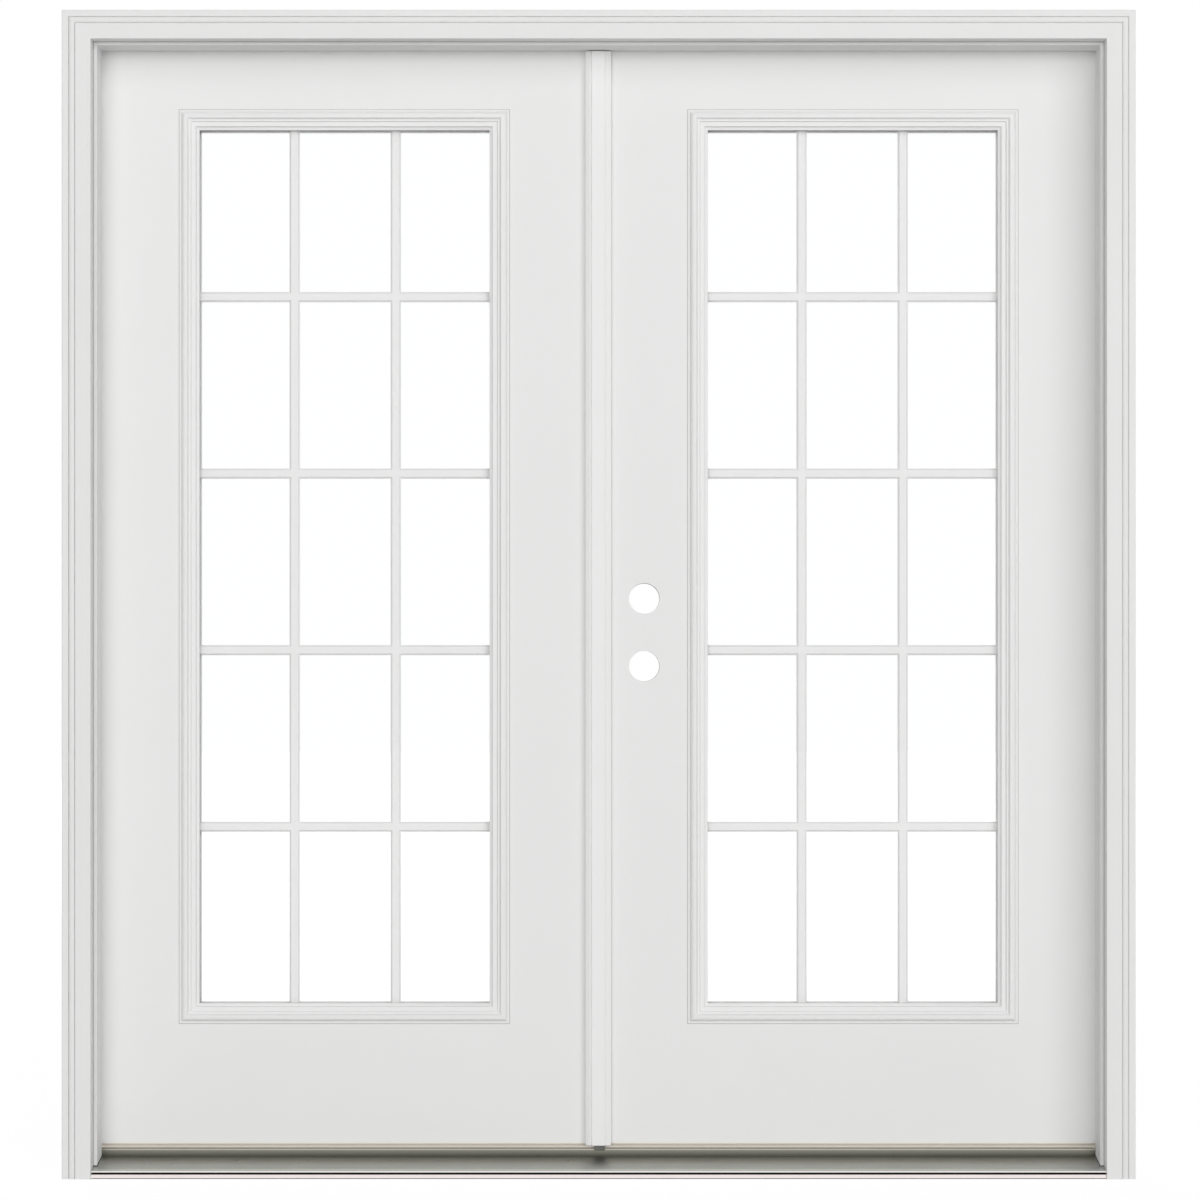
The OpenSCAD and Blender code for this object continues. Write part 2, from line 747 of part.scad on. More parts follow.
module lock_stile(bevel) {
    lip0 = leaf_y0 + skin_lip;
    lip1 = leaf_y1 - skin_lip;
    upright(leaf_bottom, leaf_top) polygon([
        [stile_lock_x, core_y0], [lock_x(core_y0, bevel) + skin_t, core_y0],
        [lock_x(lip0, bevel) + skin_t, lip0], [lock_x(lip0, bevel), lip0],
        [lock_x(lip1, bevel), lip1], [lock_x(lip1, bevel) + skin_t, lip1],
        [lock_x(core_y1, bevel) + skin_t, core_y1], [stile_lock_x, core_y1]
    ]);
}

module rail(z0, z1) {
    block([stile_lock_x, core_y0, z0], [stile_hinge_x, core_y1, z1]);
}

module lock_block() {
    block([stile_lock_x + glue_line, core_y0, lock_block_z],
        [stile_lock_x + lock_block_w, core_y1, lock_block_z + lock_block_h]);
}

module core() {
    difference() {
        rail(rail_low, rail_high);
        lite_cutout();
    }
}

// Places its children at every screw that joins the two lite frames
module at_lite_screws() {
    across = lite_w - 2 * lite_screw_u;
    tall = lite_h - 2 * lite_screw_u;
    translate([lite_x, 0, lite_z]) {
        for (s = [-1, 1], i = [0:lite_screw_rows - 1])
            translate([s * across / 2, 0, tall * ((i + 0.5) / lite_screw_rows - 0.5)]) children();
        for (s = [-1, 1], i = [0:lite_screw_columns - 1])
            translate([across * ((i + 0.5) / lite_screw_columns - 0.5), 0, s * tall / 2]) children();
    }
}

// Joining screw from the room side, its head sunk in the inner frame
module lite_screw(play = 0, up = 0) {
    head_y = leaf_y1 + lite_screw_head_v;
    tip_y = leaf_y0 + lite_screw_tip;
    translate([0, head_y, 0]) rotate([-90, 0, 0])
        cylinder(r = lite_screw_head_r + play, h = lite_screw_head_h + up);
    translate([0, tip_y - play, 0]) rotate([-90, 0, 0])
        cylinder(r = lite_screw_r + play, h = head_y - tip_y + 2 * play);
}

module outer_lite_frame() {
    difference() {
        translate([lite_x, leaf_y0, lite_z]) mitred_ring(lite_w, lite_h, lite_profile);
        at_lite_screws() lite_screw(screw_play);
    }
}

module inner_lite_frame() {
    difference() {
        translate([lite_x, leaf_y1, lite_z]) mirror([0, 1, 0]) mitred_ring(lite_w, lite_h, lite_profile);
        at_lite_screws() lite_screw(screw_play, lite_rise);
    }
}

module pane(y0) {
    translate([lite_x, y0, lite_z])
        block([-glass_w / 2, 0, -glass_h / 2], [glass_w / 2, pane_t, glass_h / 2]);
}

module spacer() {
    y0 = glass_y0 + pane_t;
    y1 = glass_y1 - pane_t;
    translate([lite_x, 0, lite_z]) difference() {
        block([-glass_w / 2, y0, -glass_h / 2], [glass_w / 2, y1, glass_h / 2]);
        block([spacer_w - glass_w / 2, y0 - over, spacer_w - glass_h / 2],
            [glass_w / 2 - spacer_w, y1 + over, glass_h / 2 - spacer_w]);
    }
}

// Bar section with bevelled edges, across and through the glass
function bar_section(w, t) =
    let (flat = w / 2 - bar_bevel)
    let (upper = [[-w / 2, bar_edge], [-flat, t / 2], [flat, t / 2], [w / 2, bar_edge]])
    [for (s = [-1, 1], p = upper) s * p];

module grille() {
    half_w = glass_w / 2 - spacer_w;
    half_h = glass_h / 2 - spacer_w;
    section = bar_section(bar_w, bar_t);
    for (s = [-1, 1]) translate([lite_x + s * bar_pitch_x / 2, leaf_mid_y, 0])
        upright(lite_z - half_h, lite_z + half_h) polygon(section);
    for (i = [0:3]) translate([0, leaf_mid_y, bar_low_z + i * bar_pitch_z])
        along_x(lite_x - half_w, lite_x + half_w) polygon([for (p = section) [p[1], p[0]]]);
}

module sweep(bevel) {
    y0 = leaf_y0 + sweep_inset;
    y1 = leaf_y1 - sweep_inset;
    fins = [y0, (y0 + y1 - sweep_fin_t) / 2, y1 - sweep_fin_t];
    along_x(lock_edge + bevel + sweep_inset, leaf_edge - sweep_inset) {
        translate([y0, leaf_bottom - sweep_base_t]) square([y1 - y0, sweep_base_t]);
        for (y = fins) translate([y, sweep_low]) square([sweep_fin_t, leaf_bottom - sweep_low]);
    }
}

module active_outer_skin() {
    color(primer) difference() {
        skin(edge_bevel);
        cross_bores();
    }
}

module active_inner_skin() {
    color(primer) difference() {
        room_skin(edge_bevel);
        cross_bores();
    }
}

module active_hinge_stile() {
    color(wood) hinge_stile();
}

module active_lock_stile() {
    color(wood) difference() {
        lock_stile(edge_bevel);
        edge_bores();
    }
}

module active_top_rail() {
    color(wood) rail(rail_high, leaf_top);
}

module active_bottom_rail() {
    color(wood) rail(leaf_bottom, rail_low);
}

module active_lock_block() {
    color(wood) difference() {
        lock_block();
        cross_bores();
        latch_ways();
    }
}

module active_core() {
    color(foam) difference() {
        core();
        lock_block();
    }
}

module active_outer_lite_frame() {
    color(vinyl) outer_lite_frame();
}

module active_inner_lite_frame() {
    color(vinyl) inner_lite_frame();
}

module active_outer_pane() {
    color("#e8f2f0", 0.25) pane(glass_y0);
}

module active_inner_pane() {
    color("#e8f2f0", 0.25) pane(glass_y1 - pane_t);
}

module active_spacer() {
    color(aluminium) spacer();
}

module active_grille() {
    color(vinyl) grille();
}

module active_lite_screws() {
    color(steel) at_lite_screws() lite_screw();
}

module active_hinge_plates() {
    color(steel) hinge_halves(leaf_plate_x, 1) leaf_screws(screw_play);
}

module active_hinge_screws() {
    color(steel) leaf_screws();
}

module active_sweep() {
    color(beige) sweep(edge_bevel);
}

module inactive_outer_skin() {
    color(primer) left_hand() skin(0);
}

module inactive_inner_skin() {
    color(primer) left_hand() room_skin(0);
}

module inactive_hinge_stile() {
    color(wood) left_hand() hinge_stile();
}

module inactive_lock_stile() {
    color(wood) difference() {
        left_hand() lock_stile(0);
        stem_screws(screw_play);
    }
}

module inactive_top_rail() {
    color(wood) left_hand() rail(rail_high, leaf_top);
}

module inactive_bottom_rail() {
    color(wood) left_hand() rail(leaf_bottom, rail_low);
}

module inactive_core() {
    color(foam) left_hand() core();
}

module inactive_outer_lite_frame() {
    color(vinyl) left_hand() outer_lite_frame();
}

module inactive_inner_lite_frame() {
    color(vinyl) left_hand() inner_lite_frame();
}

module inactive_outer_pane() {
    color("#e8f2f0", 0.25) left_hand() pane(glass_y0);
}

module inactive_inner_pane() {
    color("#e8f2f0", 0.25) left_hand() pane(glass_y1 - pane_t);
}

module inactive_spacer() {
    color(aluminium) left_hand() spacer();
}

module inactive_grille() {
    color(vinyl) left_hand() grille();
}

module inactive_lite_screws() {
    color(steel) left_hand() at_lite_screws() lite_screw();
}

module inactive_hinge_plates() {
    color(steel) left_hand() hinge_halves(leaf_plate_x, 1) leaf_screws(screw_play);
}

module inactive_hinge_screws() {
    color(steel) left_hand() leaf_screws();
}

module inactive_sweep() {
    color(beige) left_hand() sweep(0);
}

// Astragal pieces, on the left-hand leaf

module stem_screws(play = 0) {
    for (z = astragal_screw_zs) translate([stem_x1, astragal_screw_y, z]) mirror([1, 0, 0])
        screw(astragal_screw_l, play);
}

// Right half of the flange's front: place across, depth behind the face
flange_front = [[11.4, 0], [12.1, 3.4], [13.7, 3.4], [14.1, 1.5], [15.3, 1.5]];

module astragal() {
    front_right = [for (p = flange_front) [flange_x + p[0], flange_y + p[1]]];
    front_left = [for (i = [len(flange_front) - 1:-1:0])
        [flange_x - flange_front[i][0], flange_y + flange_front[i][1]]];
    bevel_y = flange_y + flange_bevel;
    kerf_end = seal_kerf_x + seal_kerf_w;
    color(primer) difference() {
        union() {
            upright(flange_low, flange_high) polygon(concat(
                [[flange_x - flange_half, leaf_y0], [flange_x - flange_half, bevel_y]],
                front_left, front_right,
                [[flange_x + flange_half, bevel_y], [flange_x + flange_half, flange_back]],
                [[kerf_end, flange_back], [kerf_end, flange_back - seal_kerf_d]],
                [[seal_kerf_x, flange_back - seal_kerf_d], [seal_kerf_x, flange_back]],
                [[stem_x1, flange_back], [stem_x1, leaf_y0]]
            ));
            block([stem_x0, leaf_y0 + glue_line, leaf_bottom], [stem_x1, stem_back, leaf_top]);
        }
        stem_screws(screw_play);
        for (z = bore_zs) translate([stem_x1 + over, leaf_mid_y, z]) rotate([0, -90, 0])
            cylinder(r = pocket_r, h = pocket_depth + over);
        bolt_way(leaf_top);
        mirrored_bolt() bolt_way(leaf_top);
    }
}

// Turns the top bolt's shapes over for the bottom of the leaf
module mirrored_bolt() {
    translate([0, 0, leaf_bottom + leaf_top]) mirror([0, 0, 1]) children();
}

// Guide bore and thumb slot of the top bolt
module bolt_way(top) {
    low = top - bolt_end_gap - bolt_len - over;
    thumb_z = top - bolt_end_gap - bolt_len + thumb_from;
    translate([bolt_x, bolt_y, low]) cylinder(r = bolt_r + bolt_play, h = top - low + over);
    block([bolt_x, bolt_y - thumb_w / 2 - bolt_play, thumb_z - bolt_play],
        [stem_x1 + over, bolt_y + thumb_w / 2 + bolt_play, thumb_z + thumb_l + bolt_travel + bolt_play]);
}

// Round bolt with a thumb piece that reaches the stem's edge
module flush_bolt(top) {
    low = top - bolt_end_gap - bolt_len;
    thumb_z = low + thumb_from;
    translate([bolt_x, bolt_y, low]) cylinder(r = bolt_r, h = bolt_len);
    block([bolt_x, bolt_y - thumb_w / 2, thumb_z],
        [stem_x1 - bolt_play, bolt_y + thumb_w / 2, thumb_z + thumb_l]);
}

module astragal_weatherstrip() {
    tail = 0.2;
    tip = leaf_y0 - seal_gap;
    left = stem_x1 + 1.2;
    right = flange_x + flange_half - 1;
    round = 1.8;
    tail_end = flange_back - seal_kerf_d + over;
    tail_right = seal_kerf_x + seal_kerf_w - tail;
    color(vinyl) upright(flange_low, flange_high) polygon([
        [left, flange_back], [seal_kerf_x + tail, flange_back], [seal_kerf_x + tail, tail_end],
        [tail_right, tail_end], [tail_right, flange_back], [right, flange_back],
        [right, tip - round], [right - round, tip], [left + round, tip], [left, tip - round]
    ]);
}

module astragal_screws() {
    color(steel) stem_screws();
}

module top_flush_bolt() {
    color(steel) flush_bolt(leaf_top);
}

module bottom_flush_bolt() {
    color(steel) mirrored_bolt() flush_bolt(leaf_top);
}

left_jamb();
right_jamb();
head_jamb();
left_brickmould();
right_brickmould();
head_brickmould();
sill_deck();
sill_substrate();
sill_cap();
sill_cap_screws();
sill_gaskets();
left_weatherstrip();
right_weatherstrip();
head_weatherstrip();
corner_seal_pads();
astragal_sill_pad();
jamb_hinge_plates();
jamb_hinge_screws();
hinge_pins();
head_strike();
active_outer_skin();
active_inner_skin();
active_hinge_stile();
active_lock_stile();
active_top_rail();
active_bottom_rail();
active_lock_block();
active_core();
active_outer_lite_frame();
active_inner_lite_frame();
active_outer_pane();
active_inner_pane();
active_spacer();
active_grille();
active_lite_screws();
active_hinge_plates();
active_hinge_screws();
active_sweep();
inactive_outer_skin();
inactive_inner_skin();
inactive_hinge_stile();
inactive_lock_stile();
inactive_top_rail();
inactive_bottom_rail();
inactive_core();
inactive_outer_lite_frame();
inactive_inner_lite_frame();
inactive_outer_pane();
inactive_inner_pane();
inactive_spacer();
inactive_grille();
inactive_lite_screws();
inactive_hinge_plates();
inactive_hinge_screws();
inactive_sweep();
astragal();
astragal_weatherstrip();
astragal_screws();
top_flush_bolt();
bottom_flush_bolt();
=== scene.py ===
"""Looks of a prehung double patio door: finishes, mouldings, seals, screws, stage, light and camera."""

import json
import logging
import math
from dataclasses import dataclass, replace
from enum import Enum
from typing import Callable, ClassVar, Iterable, Sequence

import bmesh
import bpy
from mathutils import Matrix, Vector

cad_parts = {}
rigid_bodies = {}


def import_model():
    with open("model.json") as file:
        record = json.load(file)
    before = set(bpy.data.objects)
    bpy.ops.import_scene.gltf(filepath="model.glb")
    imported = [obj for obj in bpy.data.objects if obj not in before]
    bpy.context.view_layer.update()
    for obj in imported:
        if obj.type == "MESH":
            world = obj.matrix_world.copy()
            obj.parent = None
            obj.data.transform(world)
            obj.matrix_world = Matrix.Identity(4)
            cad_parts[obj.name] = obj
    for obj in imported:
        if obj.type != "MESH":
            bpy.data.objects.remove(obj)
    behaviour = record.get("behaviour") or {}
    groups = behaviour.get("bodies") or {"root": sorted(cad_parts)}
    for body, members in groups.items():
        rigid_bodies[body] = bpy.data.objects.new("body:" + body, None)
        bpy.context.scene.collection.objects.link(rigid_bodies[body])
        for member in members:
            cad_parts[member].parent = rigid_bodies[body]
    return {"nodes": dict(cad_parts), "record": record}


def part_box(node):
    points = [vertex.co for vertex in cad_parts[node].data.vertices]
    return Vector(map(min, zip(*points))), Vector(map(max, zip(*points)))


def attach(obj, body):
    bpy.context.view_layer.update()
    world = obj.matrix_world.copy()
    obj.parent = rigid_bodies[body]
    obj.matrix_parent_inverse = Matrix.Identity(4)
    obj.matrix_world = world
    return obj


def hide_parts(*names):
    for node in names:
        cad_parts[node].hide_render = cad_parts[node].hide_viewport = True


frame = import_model()

LOG = logging.getLogger("patio_door")
MM = 0.001
SEED = 7
WHITE = (1.0, 1.0, 1.0, 1.0)

Point2 = tuple[float, float]
Span = tuple[Point2, Point2]
Colour = tuple[float, float, float]


class Way(Enum):
    """Direction in which a screw's head faces."""

    LEFT = (-1.0, 0.0, 0.0)
    RIGHT = (1.0, 0.0, 0.0)
    ROOM = (0.0, 1.0, 0.0)
    UP = (0.0, 0.0, 1.0)


class Stretch(Enum):
    """Ways in which the marks of a coat or the grain of wood are drawn out."""

    NONE = (1.0, 1.0, 1.0)
    ALONG_X = (0.02, 1.0, 1.0)
    ALONG_Z = (1.0, 1.0, 0.02)


class Sheet:
    """Node tree under construction, with short calls to add and join nodes."""

    def __init__(self, tree: bpy.types.NodeTree) -> None:
        """Keeps the tree that the nodes go into."""
        self.tree = tree

    def add(self, kind: str, inputs: dict | None = None, **settings: object) -> bpy.types.Node:
        """Adds a node.

        Args:
            kind: Blender's name of the node type.
            inputs: Values or sockets for the node's inputs, by name or place.
            settings: Attributes of the node itself.

        Returns:
            The new node.
        """
        made = self.tree.nodes.new(kind)
        for name, value in settings.items():
            setattr(made, name, value)
        self.fill(made, inputs or {})
        return made

    def fill(self, node: bpy.types.Node, inputs: dict) -> None:
        """Gives inputs of a node their values or sockets, by name or place."""
        for key, value in inputs.items():
            self.put(node.inputs[key], value)

    def put(self, socket: bpy.types.NodeSocket, value: object) -> None:
        """Sets an input, or joins it to another node.

        Args:
            socket: The input.
            value: Its value, or the output that it is joined to.
        """
        if isinstance(value, bpy.types.NodeSocket):
            self.tree.links.new(value, socket)
        else:
            socket.default_value = value

    def math(self, operation: str, a: object, b: object = 0.0, c: object = 0.0) -> bpy.types.NodeSocket:
        """Adds a sum, product or like step and returns its result."""
        return self.add("ShaderNodeMath", {0: a, 1: b, 2: c}, operation=operation).outputs[0]

    def ramp(self, value: object, source: Point2, target: Point2) -> bpy.types.NodeSocket:
        """Adds a clamped map from one range to another.

        Args:
            value: Value to map.
            source: Range that it comes from.
            target: Range that it goes to.

        Returns:
            The mapped value.
        """
        steps = {"Value": value, "From Min": source[0], "From Max": source[1]}
        steps |= {"To Min": target[0], "To Max": target[1]}
        return self.add("ShaderNodeMapRange", steps).outputs["Result"]

    def mix(self, share: object, a: object, b: object) -> bpy.types.NodeSocket:
        """Mixes two colours and returns the result."""
        return self.add("ShaderNodeMix", {0: share, 6: a, 7: b}, data_type="RGBA").outputs[2]

    def noise(
        self, where: object, scale: object, detail: float = 4.0, rough: float = 0.55
    ) -> bpy.types.NodeSocket:
        """Adds a noise texture and returns its value."""
        steps = {"Vector": where, "Scale": scale, "Detail": detail, "Roughness": rough}
        return self.add("ShaderNodeTexNoise", steps).outputs[0]

    def place(self) -> bpy.types.NodeSocket:
        """Adds object coordinates and returns them."""
        return self.add("ShaderNodeTexCoord").outputs["Object"]

    def drawn(self, stretch: object) -> bpy.types.NodeSocket:
        """Adds object coordinates drawn out along an axis and returns them."""
        return self.add("ShaderNodeMapping", {"Vector": self.place(), "Scale": stretch}).outputs[0]

    def axes(self) -> bpy.types.NodeOutputs:
        """Adds object coordinates one by one and returns them by X, Y and Z."""
        return self.add("ShaderNodeSeparateXYZ", {0: self.place()}).outputs

    def surface(self, share: object, first: bpy.types.Node, second: bpy.types.Node) -> None:
        """Shows a mix of two shaders as the material's surface.

        Args:
            share: How much of the second one shows.
            first: Shader that shows at 0.
            second: Shader that shows at 1.
        """
        both = self.add("ShaderNodeMixShader", {0: share, 1: first.outputs[0], 2: second.outputs[0]})
        out = next(n for n in self.tree.nodes if n.type == "OUTPUT_MATERIAL")
        self.put(out.inputs["Surface"], both.outputs[0])


def opaque(colour: Sequence[float]) -> tuple[float, float, float, float]:
    """Returns a colour with full alpha."""
    return (colour[0], colour[1], colour[2], 1.0)


def new_group(
    name: str, inputs: dict[str, tuple[str, object]], outputs: dict[str, str]
) -> tuple[Sheet, bpy.types.NodeOutputs, bpy.types.Node]:
    """Makes an empty shader group.

    Args:
        name: Name of the group.
        inputs: Socket kind and default of each input.
        outputs: Socket kind of each output.

    Returns:
        The sheet, the values that the group is given and its output node.
    """
    tree = bpy.data.node_groups.new(name, "ShaderNodeTree")
    for label, (kind, default) in inputs.items():
        socket = tree.interface.new_socket(label, in_out="INPUT", socket_type=kind)
        socket.default_value = default
    for label, kind in outputs.items():
        tree.interface.new_socket(label, in_out="OUTPUT", socket_type=kind)
    sheet = Sheet(tree)
    return sheet, sheet.add("NodeGroupInput").outputs, sheet.add("NodeGroupOutput")


def mottle_group() -> bpy.types.NodeTree:
    """Makes the group that varies a colour and a roughness in soft clouds.

    Returns:
        The group, with inputs Colour, Tint, Strength, Scale, Rough and Spread.
    """
    fine_to_broad = 9.0
    cloud_range = (0.35, 0.7)
    mean_noise = 0.5
    sheet, given, out = new_group(
        "soft_mottle",
        {
            "Colour": ("NodeSocketColor", (0.8, 0.8, 0.8, 1.0)),
            "Tint": ("NodeSocketColor", (0.7, 0.7, 0.7, 1.0)),
            "Strength": ("NodeSocketFloat", 0.3),
            "Scale": ("NodeSocketFloat", 6.0),
            "Rough": ("NodeSocketFloat", 0.5),
            "Spread": ("NodeSocketFloat", 0.1),
        },
        {"Colour": "NodeSocketColor", "Roughness": "NodeSocketFloat"},
    )
    here = sheet.place()
    broad = sheet.noise(here, given["Scale"])
    fine = sheet.noise(here, sheet.math("MULTIPLY", given["Scale"], fine_to_broad), detail=6.0, rough=0.65)
    share = sheet.math("MULTIPLY", sheet.ramp(broad, cloud_range, (0.0, 1.0)), given["Strength"])
    sheet.put(out.inputs["Colour"], sheet.mix(share, given["Colour"], given["Tint"]))
    swing = sheet.math("MULTIPLY", sheet.math("SUBTRACT", fine, mean_noise), given["Spread"])
    sheet.put(out.inputs["Roughness"], sheet.math("ADD", given["Rough"], swing))
    return sheet.tree


def relief_group() -> bpy.types.NodeTree:
    """Makes the group that gives the height of a fine coat, such as orange peel or brush marks.

    Returns:
        The group, with inputs Stretch, Scale and Streak, and the output Height.
    """
    sheet, given, out = new_group(
        "fine_relief",
        {
            "Stretch": ("NodeSocketVector", (1.0, 1.0, 1.0)),
            "Scale": ("NodeSocketFloat", 300.0),
            "Streak": ("NodeSocketFloat", 0.0),
        },
        {"Height": "NodeSocketFloat"},
    )
    even = sheet.noise(sheet.place(), given["Scale"], detail=2.0, rough=0.4)
    streaks = sheet.noise(sheet.drawn(given["Stretch"]), given["Scale"], detail=5.0, rough=0.6)
    gap = sheet.math("SUBTRACT", streaks, even)
    sheet.put(out.inputs["Height"], sheet.math("MULTIPLY_ADD", gap, given["Streak"], even))
    return sheet.tree


MOTTLE = mottle_group()
RELIEF = relief_group()
MADE: dict[str, bpy.types.Material] = {}


def plain_material(name: str) -> tuple[bpy.types.Material, Sheet, bpy.types.Node]:
    """Makes a material with one main shader.

    Args:
        name: Name of the material.

    Returns:
        The material, its nodes and its main shader.
    """
    made = bpy.data.materials.new(name)
    made.use_nodes = True
    made.node_tree.nodes.clear()
    sheet = Sheet(made.node_tree)
    shader = sheet.add("ShaderNodeBsdfPrincipled")
    sheet.add("ShaderNodeOutputMaterial", {"Surface": shader.outputs[0]})
    return made, sheet, shader


@dataclass(frozen=True)
class Finish:
    """Finish that becomes one material.

    Attributes:
        name: Name of the finish.
    """

    name: str

    def material(self) -> bpy.types.Material:
        """Makes the finish's material at the first call.

        Returns:
            The material.
        """
        if self.name not in MADE:
            made, sheet, shader = plain_material(self.name + "_finish")
            self.dress(sheet, shader)
            MADE[self.name] = made
        return MADE[self.name]

    def dress(self, sheet: Sheet, shader: bpy.types.Node) -> None:
        """Leaves the shader plain; each kind of finish adds its own nodes."""


@dataclass(frozen=True)
class CoatFinish(Finish):
    """Opaque finish with clouds in its colour and a fine relief.

    Attributes:
        colour: Main colour, linear.
        tint: Colour of the clouds.
        strength: How far the clouds go to the tint.
        scale: Clouds to the metre.
        rough: Mean roughness.
        spread: Spread of the roughness.
        relief_scale: Marks to the metre.
        relief_mm: Height of the marks.
        streak: Share of drawn-out marks.
        stretch: Way in which those marks run.
        metallic: 1 for bare metal.
        specular: Specular level.
    """

    colour: Colour
    tint: Colour
    strength: float = 0.3
    scale: float = 5.0
    rough: float = 0.5
    spread: float = 0.12
    relief_scale: float = 320.0
    relief_mm: float = 0.05
    streak: float = 0.0
    stretch: Stretch = Stretch.NONE
    metallic: float = 0.0
    specular: float = 0.5

    def dress(self, sheet: Sheet, shader: bpy.types.Node) -> None:
        """Joins the clouds and the relief to the shader.

        Args:
            sheet: The material's nodes.
            shader: Its main shader.
        """
        values = {"Colour": opaque(self.colour), "Tint": opaque(self.tint), "Strength": self.strength}
        values |= {"Scale": self.scale, "Rough": self.rough, "Spread": self.spread}
        clouds = sheet.add("ShaderNodeGroup", values, node_tree=MOTTLE).outputs
        values = {"Stretch": self.stretch.value, "Scale": self.relief_scale, "Streak": self.streak}
        marks = sheet.add("ShaderNodeGroup", values, node_tree=RELIEF).outputs
        bump = sheet.add("ShaderNodeBump", {"Strength": 1.0, "Distance": self.relief_mm * MM})
        sheet.put(bump.inputs["Height"], marks["Height"])
        sheet.fill(shader, {"Metallic": self.metallic, "Specular IOR Level": self.specular})
        sheet.fill(shader, {"Roughness": clouds["Roughness"], "Normal": bump.outputs[0]})
        sheet.put(shader.inputs["Base Color"], self.colouring(sheet, clouds["Colour"]))

    def colouring(self, sheet: Sheet, colour: bpy.types.NodeSocket) -> bpy.types.NodeSocket:
        """Returns the colour as it is; finishes with zones change it."""
        return colour


@dataclass(frozen=True)
class SillMetalFinish(CoatFinish):
    """Mill aluminium of the deck, with painted shade on its riser, painted highlights on its hem and nose,
    and a painted reflection on its front strip.

    Attributes:
        riser_colour: Colour of the painted shade on the riser, at its foot.
        riser_high: Colour of that painted shade under the hem, where it is lightest.
        riser_y: Depth at which the riser begins.
        riser_z: Height at which the riser begins.
        hem_z: Height at which the hem begins.
        hem_colour: Colour of the hem, lightened as a painted highlight.
        nose_colour: Colour of the nose's edge, lightened as a painted highlight.
        nose_y: Depth at which the nose's edge ends.
        tread_colour: Colour of the deck's front strip, lightened as a painted reflection.
        tread_y: Depth at which that strip ends.
        line_colour: Colour of the rolled lines along the deck.
        line_share: How far those lines go to their colour.
        line_scale: Lines to the metre.
        line_stretch: How far the lines are drawn out.
        line_range: Values of the noise between which a line fades in.
    """

    riser_colour: Colour = (0.1, 0.1, 0.082)
    riser_high: Colour = (0.27, 0.265, 0.225)
    riser_y: float = 0.063
    riser_z: float = 0.02885
    hem_z: float = 0.0389
    hem_colour: Colour = (0.56, 0.54, 0.47)
    nose_colour: Colour = (0.83, 0.8, 0.78)
    nose_y: float = -0.0293
    tread_colour: Colour = (0.58, 0.588, 0.552)
    tread_y: float = -0.0165
    line_colour: Colour = (0.3, 0.3, 0.28)
    line_share: float = 0.4
    line_scale: float = 420.0
    line_stretch: Sequence[float] = (0.012, 1.0, 1.0)
    line_range: Point2 = (0.4, 0.62)

    def colouring(self, sheet: Sheet, colour: bpy.types.NodeSocket) -> bpy.types.NodeSocket:
        """Colours the deck and paints shade on the riser, highlights on the hem and nose and a reflection on
        the front strip.

        Args:
            sheet: The material's nodes.
            colour: Colour of the metal.

        Returns:
            The colour of every zone.
        """
        here = sheet.axes()
        behind = sheet.math("GREATER_THAN", here["Y"], self.riser_y)
        on_riser = sheet.math("MULTIPLY", behind, sheet.math("GREATER_THAN", here["Z"], self.riser_z))
        lines = sheet.noise(sheet.drawn(self.line_stretch), self.line_scale, detail=5.0, rough=0.7)
        share = sheet.ramp(lines, self.line_range, (0.0, self.line_share))
        rolled = sheet.mix(share, colour, opaque(self.line_colour))
        # Painted reflection: the deck's front strip is lightened for the bright reflection near the nose.
        on_tread = sheet.math("LESS_THAN", here["Y"], self.tread_y)
        with_tread_sheen = sheet.mix(on_tread, rolled, opaque(self.tread_colour))
        # Painted highlight: the nose's rounded edge is coloured near white.
        on_nose = sheet.math("LESS_THAN", here["Y"], self.nose_y)
        deck = sheet.mix(on_nose, with_tread_sheen, opaque(self.nose_colour))
        # Painted shade: coat is the riser's dark colour, darkest at its foot, standing in for shade and dark
        # reflection on it.
        up = sheet.ramp(here["Z"], (self.riser_z, self.hem_z), (0.0, 1.0))
        coat = sheet.mix(up, opaque(self.riser_colour), opaque(self.riser_high))
        # Painted highlight: the hem under the cap's lip is lightened for the light falling on it.
        on_hem = sheet.math("GREATER_THAN", here["Z"], self.hem_z)
        return sheet.mix(on_riser, deck, sheet.mix(on_hem, coat, opaque(self.hem_colour)))


@dataclass(frozen=True)
class SillBaseFinish(CoatFinish):
    """Pale sill composite with painted shadow in and below the groove under the deck's nose, and painted
    shade on its recessed foot.

    Attributes:
        seam_colour: Colour of the painted shadow.
        seam_z: Height at which the painted shadow begins.
        seam_y: Depth at which the painted shadow ends.
        foot_colour: Colour of the recessed foot, grey as painted shade.
        foot_z: Height at which the foot ends.
    """

    seam_colour: Colour = (0.022, 0.022, 0.02)
    seam_z: float = 0.0078
    seam_y: float = 0.0
    foot_colour: Colour = (0.22, 0.21, 0.205)
    foot_z: float = 0.00175

    def colouring(self, sheet: Sheet, colour: bpy.types.NodeSocket) -> bpy.types.NodeSocket:
        """Paints shadow in the groove and shade on the recessed foot.

        Args:
            sheet: The material's nodes.
            colour: Colour of the composite.

        Returns:
            The colour of every zone.
        """
        here = sheet.axes()
        # Painted shadow: the base under the deck's nose is coloured nearly black where the groove is shaded.
        high = sheet.math("GREATER_THAN", here["Z"], self.seam_z)
        front = sheet.math("LESS_THAN", here["Y"], self.seam_y)
        # Painted shade: the recessed foot is coloured grey.
        low = sheet.math("LESS_THAN", here["Z"], self.foot_z)
        body = sheet.mix(low, colour, opaque(self.foot_colour))
        return sheet.mix(sheet.math("MULTIPLY", high, front), body, opaque(self.seam_colour))


